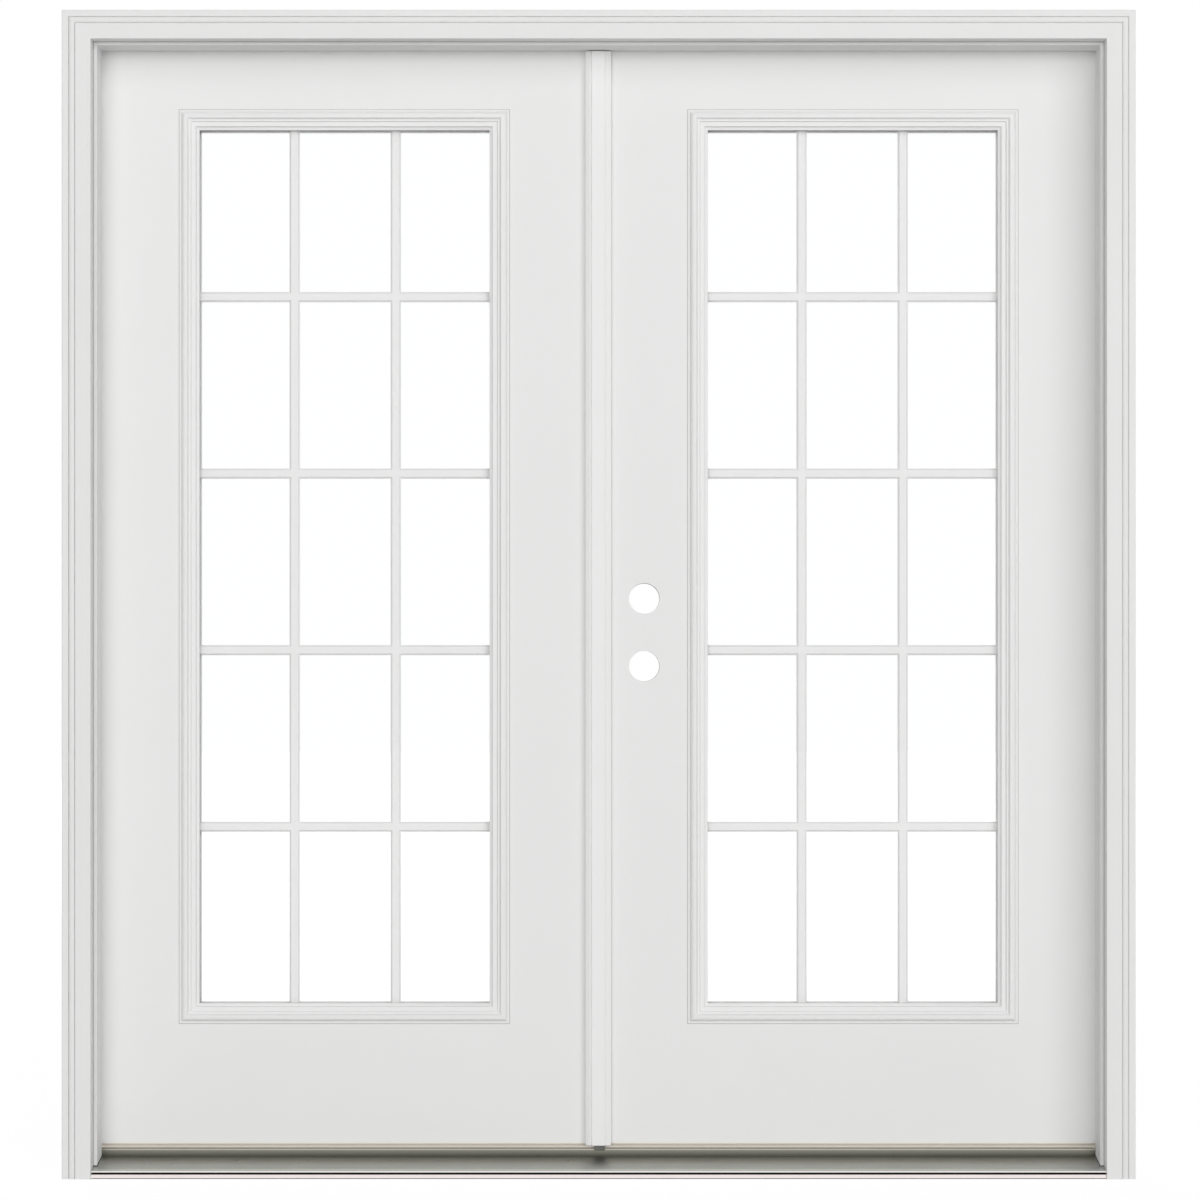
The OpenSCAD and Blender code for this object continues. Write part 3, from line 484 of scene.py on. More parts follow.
@dataclass(frozen=True)
class JambFinish(CoatFinish):
    """Primer of a jamb, with painted shade in a thin line where the casing's edge lies on its face.

    Attributes:
        joint_mm: Width of that painted shade line.
        joint_colour: Colour of the painted shade.
        face_y: Depth at which the jamb's face ends.
    """

    joint_mm: float = 1.3
    joint_colour: Colour = (0.42, 0.42, 0.41)
    face_y: float = 0.0006

    def colouring(self, sheet: Sheet, colour: bpy.types.NodeSocket) -> bpy.types.NodeSocket:
        """Paints shade in a thin line beside the casing.

        Args:
            sheet: The material's nodes.
            colour: Colour of the primer.

        Returns:
            The colour of the painted shade and of the rest.
        """
        here = sheet.axes()
        side_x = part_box("right_brickmould")[0][0] - self.joint_mm * MM
        head_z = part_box("head_brickmould")[0][2] - self.joint_mm * MM
        beside = sheet.math("GREATER_THAN", sheet.math("ABSOLUTE", here["X"]), side_x)
        above = sheet.math("GREATER_THAN", here["Z"], head_z)
        front = sheet.math("LESS_THAN", here["Y"], self.face_y)
        # Painted shade: a thin grey line on the jamb's face beside the casing.
        share = sheet.math("MULTIPLY", front, sheet.math("MAXIMUM", beside, above))
        return sheet.mix(share, colour, opaque(self.joint_colour))


@dataclass(frozen=True)
class SkinFinish(CoatFinish):
    """Primer of a leaf's outer skin, with a painted shadow line round its lite frame.

    Attributes:
        lite_frame: Node of the lite frame on this skin.
        line_mm: Width of the painted shadow line.
        line_colour: Colour of the painted shadow.
    """

    lite_frame: str = ""
    line_mm: float = 0.2
    line_colour: Colour = (0.55, 0.55, 0.54)

    def colouring(self, sheet: Sheet, colour: bpy.types.NodeSocket) -> bpy.types.NodeSocket:
        """Paints a shadow line beside the lite frame.

        Args:
            sheet: The material's nodes.
            colour: Colour of the primer.

        Returns:
            The colour of the painted shadow and of the rest.
        """
        here = sheet.axes()
        low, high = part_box(self.lite_frame)
        away = []
        for label, i in (("X", 0), ("Z", 2)):
            middle = (low[i] + high[i]) / 2
            half = (high[i] - low[i]) / 2
            offset = sheet.math("ABSOLUTE", sheet.math("SUBTRACT", here[label], middle))
            away.append(sheet.math("SUBTRACT", offset, half))
        # Painted shadow: a thin grey line on the skin round the lite frame's lip.
        share = sheet.math("LESS_THAN", sheet.math("MAXIMUM", away[0], away[1]), self.line_mm * MM)
        return sheet.mix(share, colour, opaque(self.line_colour))


@dataclass(frozen=True)
class WoodFinish(Finish):
    """Planed softwood with rings drawn out along its length.

    Attributes:
        early: Colour of the pale wood.
        late: Colour of the dark lines.
        rings: Lines to the metre.
        ring_share: Share of the rings in the grain; pores are the rest.
        along: Axis that the grain follows.
        sway_scale: Bends of the rings to the metre.
        sway: How far the rings bend, in metres.
        pore_scale: Pores to the metre.
        pore_range: Values of the noise between which the roughness changes.
        rough: Roughness at the two ends of that range.
        relief_mm: Height of the grain.
    """

    early: Colour
    late: Colour
    rings: float = 90.0
    ring_share: float = 0.75
    along: Stretch = Stretch.ALONG_Z
    sway_scale: float = 9.0
    sway: float = 0.08
    pore_scale: float = 900.0
    pore_range: Point2 = (0.3, 0.7)
    rough: Point2 = (0.5, 0.68)
    relief_mm: float = 0.06

    def dress(self, sheet: Sheet, shader: bpy.types.Node) -> None:
        """Joins rings and pores to the shader.

        Args:
            sheet: The material's nodes.
            shader: Its main shader.
        """
        drawn = sheet.drawn(self.along.value)
        bend = sheet.math("MULTIPLY", sheet.noise(drawn, self.sway_scale, detail=3.0), self.sway)
        push = sheet.add("ShaderNodeCombineXYZ", {0: bend})
        warped = sheet.add("ShaderNodeVectorMath", {0: drawn, 1: push.outputs[0]}, operation="ADD")
        steps = {"Vector": warped.outputs[0], "Scale": self.rings, "Distortion": 2.5, "Detail": 3.0}
        lines = sheet.add("ShaderNodeTexWave", steps, wave_type="BANDS").outputs["Fac"]
        pores = sheet.noise(drawn, self.pore_scale, detail=2.0)
        pits = sheet.math("MULTIPLY", pores, 1.0 - self.ring_share)
        grain = sheet.math("MULTIPLY_ADD", lines, self.ring_share, pits)
        bump = sheet.add("ShaderNodeBump", {"Strength": 1.0, "Distance": self.relief_mm * MM})
        sheet.put(bump.inputs["Height"], grain)
        sheet.put(shader.inputs["Base Color"], sheet.mix(grain, opaque(self.early), opaque(self.late)))
        sheet.put(shader.inputs["Roughness"], sheet.ramp(pores, self.pore_range, self.rough))
        sheet.put(shader.inputs["Normal"], bump.outputs[0])


@dataclass(frozen=True)
class GlassFinish(Finish):
    """Clear float glass that lets lamps through to the bars between the panes.

    Attributes:
        tint: Colour of the glass.
        ior: Index of refraction.
        specular: Specular level, low as on coated glass.
        wave_mm: Height of the float's long waves.
        wave_scale: Waves to the metre.
        wave_stretch: How far the waves are drawn out upwards.
        wave_strength: Strength of the waves.
    """

    tint: Colour
    ior: float = 1.5
    specular: float = 0.12
    wave_mm: float = 0.02
    wave_scale: float = 5.0
    wave_stretch: Sequence[float] = (1.0, 1.0, 0.3)
    wave_strength: float = 0.3

    def dress(self, sheet: Sheet, shader: bpy.types.Node) -> None:
        """Makes the shader clear, and fully open to shadow and diffuse rays.

        Args:
            sheet: The material's nodes.
            shader: Its main shader.
        """
        waves = sheet.noise(sheet.drawn(self.wave_stretch), self.wave_scale, detail=1.0)
        bump = sheet.add("ShaderNodeBump", {"Strength": self.wave_strength, "Distance": self.wave_mm * MM})
        sheet.put(bump.inputs["Height"], waves)
        sheet.fill(shader, {"Base Color": opaque(self.tint), "Roughness": 0.0, "IOR": self.ior})
        sheet.fill(shader, {"Transmission Weight": 1.0, "Specular IOR Level": self.specular})
        sheet.put(shader.inputs["Normal"], bump.outputs[0])
        path = sheet.add("ShaderNodeLightPath").outputs
        passing = sheet.math("MAXIMUM", path["Is Shadow Ray"], path["Is Diffuse Ray"])
        sheet.surface(passing, shader, sheet.add("ShaderNodeBsdfTransparent"))


WOOD_PRIMER = {"strength": 0.35, "scale": 4.0, "rough": 0.55, "spread": 0.15, "relief_scale": 260.0,
               "streak": 0.6, "stretch": Stretch.ALONG_Z, "specular": 0.3}
STEEL_PRIMER = {"colour": (0.84, 0.84, 0.836), "tint": (0.81, 0.81, 0.806), "scale": 3.0, "rough": 0.48,
                "relief_scale": 420.0, "relief_mm": 0.025, "specular": 0.35}


class Finishes:
    """Every finish of the door unit, by the record's slots or by a node's own finish."""

    primed_wood = CoatFinish(
        "primed_wood", colour=(0.83, 0.83, 0.825), tint=(0.79, 0.79, 0.785), **WOOD_PRIMER)
    primed_wood_head = replace(primed_wood, name="primed_wood_head", stretch=Stretch.ALONG_X)
    # Painted shade: the jambs wear a darker copy of the casing's primer, so the reveals look shaded.
    jamb_wood = JambFinish(
        "jamb_wood", colour=(0.8, 0.8, 0.795), tint=(0.76, 0.76, 0.755), **WOOD_PRIMER)
    jamb_wood_head = replace(jamb_wood, name="jamb_wood_head", stretch=Stretch.ALONG_X)
    primed_steel = CoatFinish("primed_steel", **STEEL_PRIMER)
    active_skin = SkinFinish("active_skin", lite_frame="active_outer_lite_frame", **STEEL_PRIMER)
    inactive_skin = SkinFinish("inactive_skin", lite_frame="inactive_outer_lite_frame", **STEEL_PRIMER)
    astragal_paint = CoatFinish(
        "astragal_paint", colour=(0.88, 0.88, 0.875), tint=(0.85, 0.85, 0.845), scale=4.0,
        relief_scale=300.0, relief_mm=0.03, streak=0.5, stretch=Stretch.ALONG_Z, specular=0.35)
    lite_frame_plastic = CoatFinish(
        "lite_frame_plastic", colour=(0.85, 0.85, 0.846), tint=(0.82, 0.82, 0.816), scale=7.0, rough=0.42,
        spread=0.1, relief_scale=700.0, relief_mm=0.015, specular=0.4)
    grille_paint = CoatFinish(
        "grille_paint", colour=(0.86, 0.86, 0.855), tint=(0.83, 0.83, 0.825), scale=9.0, rough=0.38,
        spread=0.1, relief_scale=600.0, relief_mm=0.012, specular=0.4)
    clear_glass = GlassFinish("clear_glass", tint=(0.996, 1.0, 0.998))
    mill_aluminium = SillMetalFinish(
        "mill_aluminium", colour=(0.48, 0.485, 0.46), tint=(0.41, 0.415, 0.39), strength=0.5, scale=8.0,
        rough=0.3, spread=0.14, relief_scale=380.0, relief_mm=0.03, streak=0.9, stretch=Stretch.ALONG_X,
        metallic=1.0)
    spacer_aluminium = CoatFinish(
        "spacer_aluminium", colour=(0.72, 0.72, 0.71), tint=(0.6, 0.6, 0.59), strength=0.4, scale=20.0,
        rough=0.35, relief_scale=500.0, relief_mm=0.02, streak=0.5, stretch=Stretch.ALONG_Z, metallic=1.0)
    sill_composite = SillBaseFinish(
        "sill_composite", colour=(0.98, 0.9, 0.88), tint=(0.93, 0.85, 0.83), strength=0.5, scale=12.0,
        rough=0.6, relief_scale=350.0, relief_mm=0.06, streak=0.7, stretch=Stretch.ALONG_X)
    cap_composite = CoatFinish(
        "cap_composite", colour=(0.71, 0.66, 0.585), tint=(0.635, 0.585, 0.51), strength=0.5, scale=10.0,
        rough=0.55, relief_scale=420.0, streak=0.7, stretch=Stretch.ALONG_X)
    dark_foam_rubber = CoatFinish(
        "dark_foam_rubber", colour=(0.03, 0.03, 0.028), tint=(0.05, 0.05, 0.046), strength=0.6, scale=60.0,
        rough=0.8, spread=0.15, relief_scale=900.0, relief_mm=0.12)
    pad_foam = replace(
        dark_foam_rubber, name="pad_foam", colour=(0.13, 0.13, 0.12), tint=(0.17, 0.17, 0.155))
    strip_vinyl = CoatFinish(
        "strip_vinyl", colour=(0.78, 0.78, 0.77), tint=(0.72, 0.72, 0.71), strength=0.4, scale=14.0,
        rough=0.6, relief_scale=500.0)
    # Painted shade: the lock block's wood is made dark so the walls of the bores look shaded.
    block_wood = WoodFinish("block_wood", early=(0.2, 0.13, 0.08), late=(0.11, 0.065, 0.04))
    bare_wood = WoodFinish("bare_wood", early=(0.62, 0.44, 0.26), late=(0.4, 0.25, 0.13))
    bare_wood_rail = replace(bare_wood, name="bare_wood_rail", along=Stretch.ALONG_X)
    rigid_foam = CoatFinish(
        "rigid_foam", colour=(0.78, 0.7, 0.45), tint=(0.66, 0.58, 0.35), strength=0.6, scale=70.0,
        rough=0.85, spread=0.1, relief_scale=600.0, relief_mm=0.3)
    screw_steel = CoatFinish(
        "screw_steel", colour=(0.66, 0.66, 0.65), tint=(0.52, 0.52, 0.51), strength=0.5, scale=90.0,
        rough=0.32, spread=0.15, relief_scale=1200.0, relief_mm=0.01, metallic=1.0)
    hinge_steel = CoatFinish(
        "hinge_steel", colour=(0.6, 0.59, 0.57), tint=(0.52, 0.51, 0.49), strength=0.5, scale=30.0,
        rough=0.34, spread=0.14, relief_scale=900.0, relief_mm=0.012, streak=0.9, stretch=Stretch.ALONG_Z,
        metallic=1.0)

    along_head = {
        "primed_wood": "primed_wood_head",
        "jamb_wood": "jamb_wood_head",
        "bare_wood": "bare_wood_rail",
    }
    of_node = {
        "left_jamb": "jamb_wood",
        "right_jamb": "jamb_wood",
        "head_jamb": "jamb_wood",
        "astragal": "astragal_paint",
        "astragal_sill_pad": "pad_foam",
        "active_lock_block": "block_wood",
        "active_outer_skin": "active_skin",
        "inactive_outer_skin": "inactive_skin",
    }

    @classmethod
    def of(cls, name: str, level: bool = False) -> bpy.types.Material:
        """Finds the material of a finish.

        Args:
            name: The record's slot, or the name of a node's own finish.
            level: True for a piece whose grain lies along the head.

        Returns:
            The material.
        """
        chosen = cls.along_head.get(name, name) if level else name
        return getattr(cls, chosen).material()


def wear(piece: bpy.types.Object, material: bpy.types.Material) -> None:
    """Gives a piece one material."""
    piece.data.materials.clear()
    piece.data.materials.append(material)


def lies_level(node: str) -> bool:
    """Returns True for a node that is longer along the head than upright."""
    low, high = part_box(node)
    return (high[0] - low[0]) > (high[2] - low[2])


def slot_of(node: str) -> str:
    """Returns the record's slot of a node."""
    return next(e["material_slot"] for e in frame["record"]["subparts"] if e["node"] == node)


def body_of(node: str) -> str:
    """Returns the body that a node belongs to."""
    bodies = frame["record"]["behaviour"]["bodies"]
    return next(body for body, nodes in bodies.items() if node in nodes)


def dress_nodes() -> None:
    """Gives every solid of the frame its own finish or its slot's."""
    for entry in frame["record"]["subparts"]:
        name = entry["node"]
        finish = Finishes.of_node.get(name, entry["material_slot"])
        wear(frame["nodes"][name], Finishes.of(finish, lies_level(name)))
        LOG.info("%s wears %s", name, finish)


def stand_for(piece: bpy.types.Object, node: str) -> None:
    """Puts a piece in the place of a solid, on its body and with its finish.

    Args:
        piece: The piece.
        node: Node of the solid.
    """
    wear(piece, Finishes.of(slot_of(node), lies_level(node)))
    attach(piece, body_of(node))
    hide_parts(node)
    LOG.info("%s stands for %s", piece.name, node)


@dataclass(frozen=True)
class Corner:
    """Corner of a moulding's profile, in millimetres.

    Attributes:
        across: Distance from the moulding's outer edge.
        rise: Height above its back or above the skin that it lies on.
        round: Radius of the corner.
    """

    across: float
    rise: float
    round: float = 0.0


def rounded(corners: Sequence[Corner], steps: int = 5) -> list[Point2]:
    """Rounds the corners of a closed profile.

    Args:
        corners: The profile's corners in order.
        steps: Flats in each rounding.

    Returns:
        Points of the profile in metres.
    """
    most_of_side = 0.48
    places = [Vector((c.across, c.rise)) * MM for c in corners]
    points: list[Point2] = []
    for i, corner in enumerate(corners):
        here = places[i]
        if corner.round <= 0.0:
            points.append(tuple(here))
            continue
        before = places[i - 1] - here
        after = places[(i + 1) % len(places)] - here
        reach = corner.round * MM / math.tan(before.angle(after) / 2)
        reach = min(reach, before.length * most_of_side, after.length * most_of_side)
        start = here + before.normalized() * reach
        end = here + after.normalized() * reach
        for k in range(steps + 1):
            t = k / steps
            points.append(tuple(start * (1 - t) ** 2 + here * 2 * t * (1 - t) + end * t ** 2))
    return points


def arc_corners(centre: Point2, radii: Point2, start: float, stop: float, steps: int) -> list[Corner]:
    """Lays corners along an arc of a circle or an ellipse.

    Args:
        centre: Middle of the arc in millimetres.
        radii: Its radii across and upwards.
        start: Angle of its first corner in degrees.
        stop: Angle of its last corner.
        steps: Flats in the arc.

    Returns:
        The corners.
    """
    turns = [math.radians(start + (stop - start) * k / steps) for k in range(steps + 1)]
    return [Corner(centre[0] + radii[0] * math.cos(a), centre[1] + radii[1] * math.sin(a)) for a in turns]


def soften(mesh: bpy.types.Mesh, smooth_deg: float) -> None:
    """Shades a mesh smooth across its roundings, with flats that stay flat.

    Args:
        mesh: The mesh.
        smooth_deg: Faces that meet at more than this keep a sharp edge.
    """
    limit = math.cos(math.radians(smooth_deg))
    around: dict[int, list[bpy.types.MeshPolygon]] = {}
    for face in mesh.polygons:
        face.use_smooth = True
        for v in face.vertices:
            around.setdefault(v, []).append(face)
    normals: list[Vector] = [Vector()] * len(mesh.loops)
    for face in mesh.polygons:
        own = face.normal.copy()
        for loop in face.loop_indices:
            near = [f for f in around[mesh.loops[loop].vertex_index] if f.normal.dot(own) > limit]
            normals[loop] = sum((f.normal * f.area for f in near), Vector()).normalized()
    mesh.normals_split_custom_set(normals)


def mesh_piece(
    name: str, build: Callable[[bmesh.types.BMesh], None], smooth_deg: float = 38.0
) -> bpy.types.Object:
    """Makes a piece from a function that fills a mesh.

    Args:
        name: Name of the piece.
        build: Function that adds the faces.
        smooth_deg: Edges sharper than this stay sharp.

    Returns:
        The piece, at the origin.
    """
    work = bmesh.new()
    build(work)
    bmesh.ops.remove_doubles(work, verts=work.verts, dist=1e-6)
    bmesh.ops.recalc_face_normals(work, faces=work.faces)
    mesh = bpy.data.meshes.new(name)
    work.to_mesh(mesh)
    work.free()
    soften(mesh, smooth_deg)
    piece = bpy.data.objects.new(name, mesh)
    bpy.context.scene.collection.objects.link(piece)
    return piece


def loft(work: bmesh.types.BMesh, rings: Sequence[Sequence[Vector]], closed: bool = False) -> None:
    """Joins rings of points with faces.

    Args:
        work: Mesh that takes the faces.
        rings: Closed rings with the same number of points.
        closed: True if the last ring joins the first; otherwise both ends are capped.
    """
    verts = [[work.verts.new(p) for p in ring] for ring in rings]
    count = len(verts[0])
    pairs = list(zip(verts, verts[1:]))
    if closed:
        pairs.append((verts[-1], verts[0]))
    for a, b in pairs:
        for j in range(count):
            k = (j + 1) % count
            work.faces.new((a[j], a[k], b[k], b[j]))
    if not closed:
        work.faces.new(verts[0])
        work.faces.new(list(reversed(verts[-1])))


@dataclass
class Casing:
    """Exterior casing: three mitred lengths with a bead between two quirks. Sizes are in millimetres.

    Attributes:
        width: Width of the casing.
        thick: Its thickness.
        band_to: End of the outer band, from the outer edge.
        band_drop: Depth of the outer band below the face.
        outer_quirk: Depth of the quirk on the outer side of the bead, below the face.
        inner_quirk: Depth of the quirk on its inner side.
        bead_from: Start of the bead from the outer edge.
        bead_to: End of the bead.
        bead_rise: Height of the bead's arc.
        bead_drop: Depth of the bead's crown below the face.
        bead_steps: Flats in the bead's arc.
        face_from: Start of the flat face.
        face_lean: How far the face's edge leans over the inner quirk.
        lean: How far the quirks' other sides lean.
        crease: Radius in the quirks.
    """

    width: float
    thick: float
    band_to: float = 11.5
    band_drop: float = 2.8
    outer_quirk: float = 5.8
    inner_quirk: float = 4.8
    bead_from: float = 13.0
    bead_to: float = 22.3
    bead_rise: float = 1.8
    bead_drop: float = 0.7
    bead_steps: int = 12
    face_from: float = 23.8
    face_lean: float = 0.3
    lean: float = 0.2
    crease: float = 0.2

    @classmethod
    def from_frame(cls) -> "Casing":
        """Reads the casing's size from its solid."""
        low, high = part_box("right_brickmould")
        return cls((high[0] - low[0]) / MM, (high[1] - low[1]) / MM)

    def profile(self) -> list[Point2]:
        """Lays out the casing's section.

        Returns:
            Distance from the outer edge and height above the back, in metres.
        """
        top, lean = self.thick, self.lean
        half = (self.bead_to - self.bead_from) / 2
        radius = (half * half + self.bead_rise ** 2) / (2 * self.bead_rise)
        turn = math.degrees(math.asin(half / radius))
        middle = (self.bead_from + half, top - self.bead_drop - radius)
        band, low = top - self.band_drop, top - self.outer_quirk
        outer = [Corner(0.0, 0.0), Corner(0.0, band, round=2.2), Corner(self.band_to, band, round=0.5)]
        outer += [Corner(x, low, self.crease) for x in (self.band_to + lean, self.bead_from - lean)]
        bead = arc_corners(middle, (radius, radius), 90.0 + turn, 90.0 - turn, self.bead_steps)
        low = top - self.inner_quirk
        inner = [Corner(x, low, self.crease) for x in (self.bead_to + lean, self.face_from - self.face_lean)]
        inner += [Corner(self.face_from, top, round=0.6), Corner(self.width, top, round=1.6)]
        return rounded(outer + bead + inner + [Corner(self.width, 0.0)])

    def build(self) -> None:
        """Builds the two sides and the head."""
        out, _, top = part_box("head_brickmould")[1]
        section = self.profile()

        def ring(side: float, foot: float | None = None) -> list[Vector]:
            """Returns the section at a mitre, or at the foot of a side."""
            return [Vector((side * (out - u), -v, top - u if foot is None else foot)) for u, v in section]

        for label, side in (("left", -1.0), ("right", 1.0)):
            node = label + "_brickmould"
            rings = [ring(side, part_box(node)[0][2]), ring(side)]
            stand_for(mesh_piece(label + "_casing", lambda work, r=rings: loft(work, r)), node)
        rings = [ring(-1.0), ring(1.0)]
        stand_for(mesh_piece("head_casing", lambda work: loft(work, rings)), "head_brickmould")


@dataclass
class LiteFrames:
    """Moulded frames round the glass, with a boss for the screws.

    The section runs from the lip on the skin over a quirk, an ovolo, a ridge, a cove, a step and a flat to
    the ledge and the glazing bead. Sizes are in millimetres. A span holds the two ends of a stretch, each
    as its distance from the frame's outer edge and its height above the skin.

    Attributes:
        face: Face width.
        rise: Height of the ridge above the skin.
        seat: Depth from the skin to the glass.
        lip: Span of the lip's top.
        quirk: Span of the quirk's bottom.
        ovolo_at: Distance of the ovolo's crown.
        ovolo_radii: Radii of the ovolo across and upwards.
        ovolo_start: Angle at which the ovolo leaves the quirk, in degrees.
        ovolo_steps: Flats in the ovolo.
        ridge_to: End of the ridge.
        cove: Middle of the cove.
        step: Span of the step.
        flat: Span of the flat.
        ledge: Span of the ledge.
        bead_low: Height of the glazing bead at its front edge.
        bead_edge: Size of the bead's bevel.
        leg: Thickness of the leg on the glass.
        leg_top: Height of the leg's back.
        hollow: Span of the hollow behind the bead.
        boss_out: Outer side of the screw boss.
        boss_in: Inner side of the screw boss.
        boss_depth: Depth of the boss behind the skin's face.
        sharp: Radius of the sharp corners.
        soft: Radius of the soft corners.
    """

    face: float = 36.25
    rise: float = 9.5
    seat: float = 9.525
    lip: Span = ((1.2, 1.8), (3.7, 1.7))
    quirk: Span = ((4.0, 0.5), (5.0, 0.6))
    ovolo_at: float = 13.6
    ovolo_radii: Point2 = (8.8, 10.7)
    ovolo_start: float = 165.0
    ovolo_steps: int = 10
    ridge_to: float = 15.6
    cove: Point2 = (17.2, 7.1)
    step: Span = ((18.6, 5.6), (21.3, 5.0))
    flat: Span = ((23.2, 2.3), (30.4, 2.0))
    ledge: Span = ((30.8, -2.4), (31.4, -2.6))
    bead_low: float = -4.8
    bead_edge: Point2 = (0.3, 0.6)
    leg: float = 3.0
    leg_top: float = -5.6
    hollow: Span = ((29.85, -3.8), (28.65, 0.4))
    boss_out: float = 18.0
    boss_in: float = 24.5
    boss_depth: float = 20.0
    sharp: float = 0.2
    soft: float = 0.8

    def profile(self) -> list[Point2]:
        """Lays out the frame's section.

        Returns:
            Distance from the outer edge and height above the skin, in metres.
        """
        inner, bevel = self.face, self.bead_edge
        lip = [Corner(self.lip[0][0], 0.0), Corner(*self.lip[0], round=0.5), Corner(*self.lip[1], round=0.3)]
        quirk = [Corner(*p, round=self.sharp) for p in self.quirk]
        centre = (self.ovolo_at, self.rise - self.ovolo_radii[1])
        ovolo = arc_corners(centre, self.ovolo_radii, self.ovolo_start, 90.0, self.ovolo_steps)
        ridge = [Corner(self.ridge_to, self.rise, self.soft), Corner(*self.cove)]
        flat = [Corner(*p, round=self.soft) for p in (*self.step, self.flat[0])]
        flat += [Corner(*self.flat[1], round=0.4)] + [Corner(*p, round=self.sharp) for p in self.ledge]
        bead = [Corner(inner - bevel[0], self.bead_low, round=0.6), Corner(inner, self.bead_low - bevel[1])]
        leg = [Corner(inner, -self.seat), Corner(inner - self.leg, -self.seat)]
        leg += [Corner(inner - self.leg, self.leg_top)] + [Corner(*p) for p in self.hollow]
        boss = [Corner(self.boss_in, self.hollow[1][1]), Corner(self.boss_in, -self.boss_depth)]
        boss += [Corner(self.boss_out, -self.boss_depth), Corner(self.boss_out, 0.0)]
        return rounded(lip + quirk + ovolo + ridge + flat + bead + leg + boss, steps=4)

    def build(self) -> None:
        """Builds the outer frame of each leaf; the inner ones have screw holes and stay as they are."""
        section = self.profile()
        for leaf in ("active", "inactive"):
            node = leaf + "_outer_lite_frame"
            low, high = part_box(node)
            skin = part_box(leaf + "_outer_skin")[0][1]
            rings = []
            for x_side, z_side in ((1, 1), (-1, 1), (-1, -1), (1, -1)):
                x = low[0] if x_side > 0 else high[0]
                z = low[2] if z_side > 0 else high[2]
                rings.append([Vector((x + x_side * u, skin - v, z + z_side * u)) for u, v in section])
            piece = mesh_piece(leaf + "_outer_lite_moulding", lambda work, r=rings: loft(work, r, True))
            stand_for(piece, node)


@dataclass
class BulbStrips:
    """Foam-filled bulb strips, round where the leaf presses on them.

    Attributes:
        steps: Flats in the bulb's round.
        squareness: Power that fills out the bulb; 1 gives an ellipse and less a squarer bulb.
        bulb_share: Bulb's share of the strip's depth, by node; the rest is the tail in its kerf.
    """

    steps: int = 14
    squareness: float = 0.6
    bulb_share: ClassVar[dict[str, float]] = {
        "left_weatherstrip": 0.467,
        "right_weatherstrip": 0.467,
        "astragal_weatherstrip": 0.667,
        "head_weatherstrip": 0.467,
    }

    def section(self, low: float, high: float, back: float, tip: float) -> list[Point2]:
        """Lays out the bulb's section.

        Args:
            low: One side across the strip.
            high: The other side.
            back: Depth of the face that it sits on.
            tip: Depth of its front.

        Returns:
            Points across and along the depth, in metres.
        """
        half = (high - low) / 2
        points = []
        for k in range(self.steps + 1):
            turn = math.pi * k / self.steps
            swing = math.copysign(abs(math.cos(turn)) ** self.squareness, math.cos(turn))
            depth = back + (tip - back) * math.sin(turn) ** self.squareness
            points.append((low + half + half * swing, depth))
        return points

    def build(self) -> None:
        """Builds the strips of the two sides, the astragal and the head."""
        for node, share in self.bulb_share.items():
            low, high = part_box(node)
            back = high[1] - (high[1] - low[1]) * share
            level = lies_level(node)
            across, along = (2, 0) if level else (0, 2)
            section = self.section(low[across], high[across], back, high[1])
            rings = []
            for end in (low[along], high[along]):
                rings.append([Vector((end, y, u) if level else (u, y, end)) for u, y in section])
            stand_for(mesh_piece(node + "_bulb", lambda work, r=rings: loft(work, r)), node)


def islands(node: str) -> list[tuple[Vector, Vector]]:
    """Finds the separate solids of a node.

    Args:
        node: Name of the node.

    Returns:
        Lowest and highest corner of each solid.
    """
    mesh = frame["nodes"][node].data
    keys = [tuple(round(c, 6) for c in v.co) for v in mesh.vertices]
    parent = {k: k for k in keys}

    def root(k: tuple) -> tuple:
        """Follows a point to its solid's first point.

        Args:
            k: The point.

        Returns:
            The first point.
        """
        while parent[k] != k:
            parent[k] = parent[parent[k]]
            k = parent[k]
        return k

    for face in mesh.polygons:
        first = root(keys[face.vertices[0]])
        for v in face.vertices[1:]:
            parent[root(keys[v])] = first
    groups: dict[tuple, list[tuple]] = {}
    for k in parent:
        groups.setdefault(root(k), []).append(k)
    boxes = []
    for points in groups.values():
        low = Vector(tuple(min(p[i] for p in points) for i in range(3)))
        high = Vector(tuple(max(p[i] for p in points) for i in range(3)))
        boxes.append((low, high))
    return sorted(boxes, key=lambda b: tuple(b[0]))


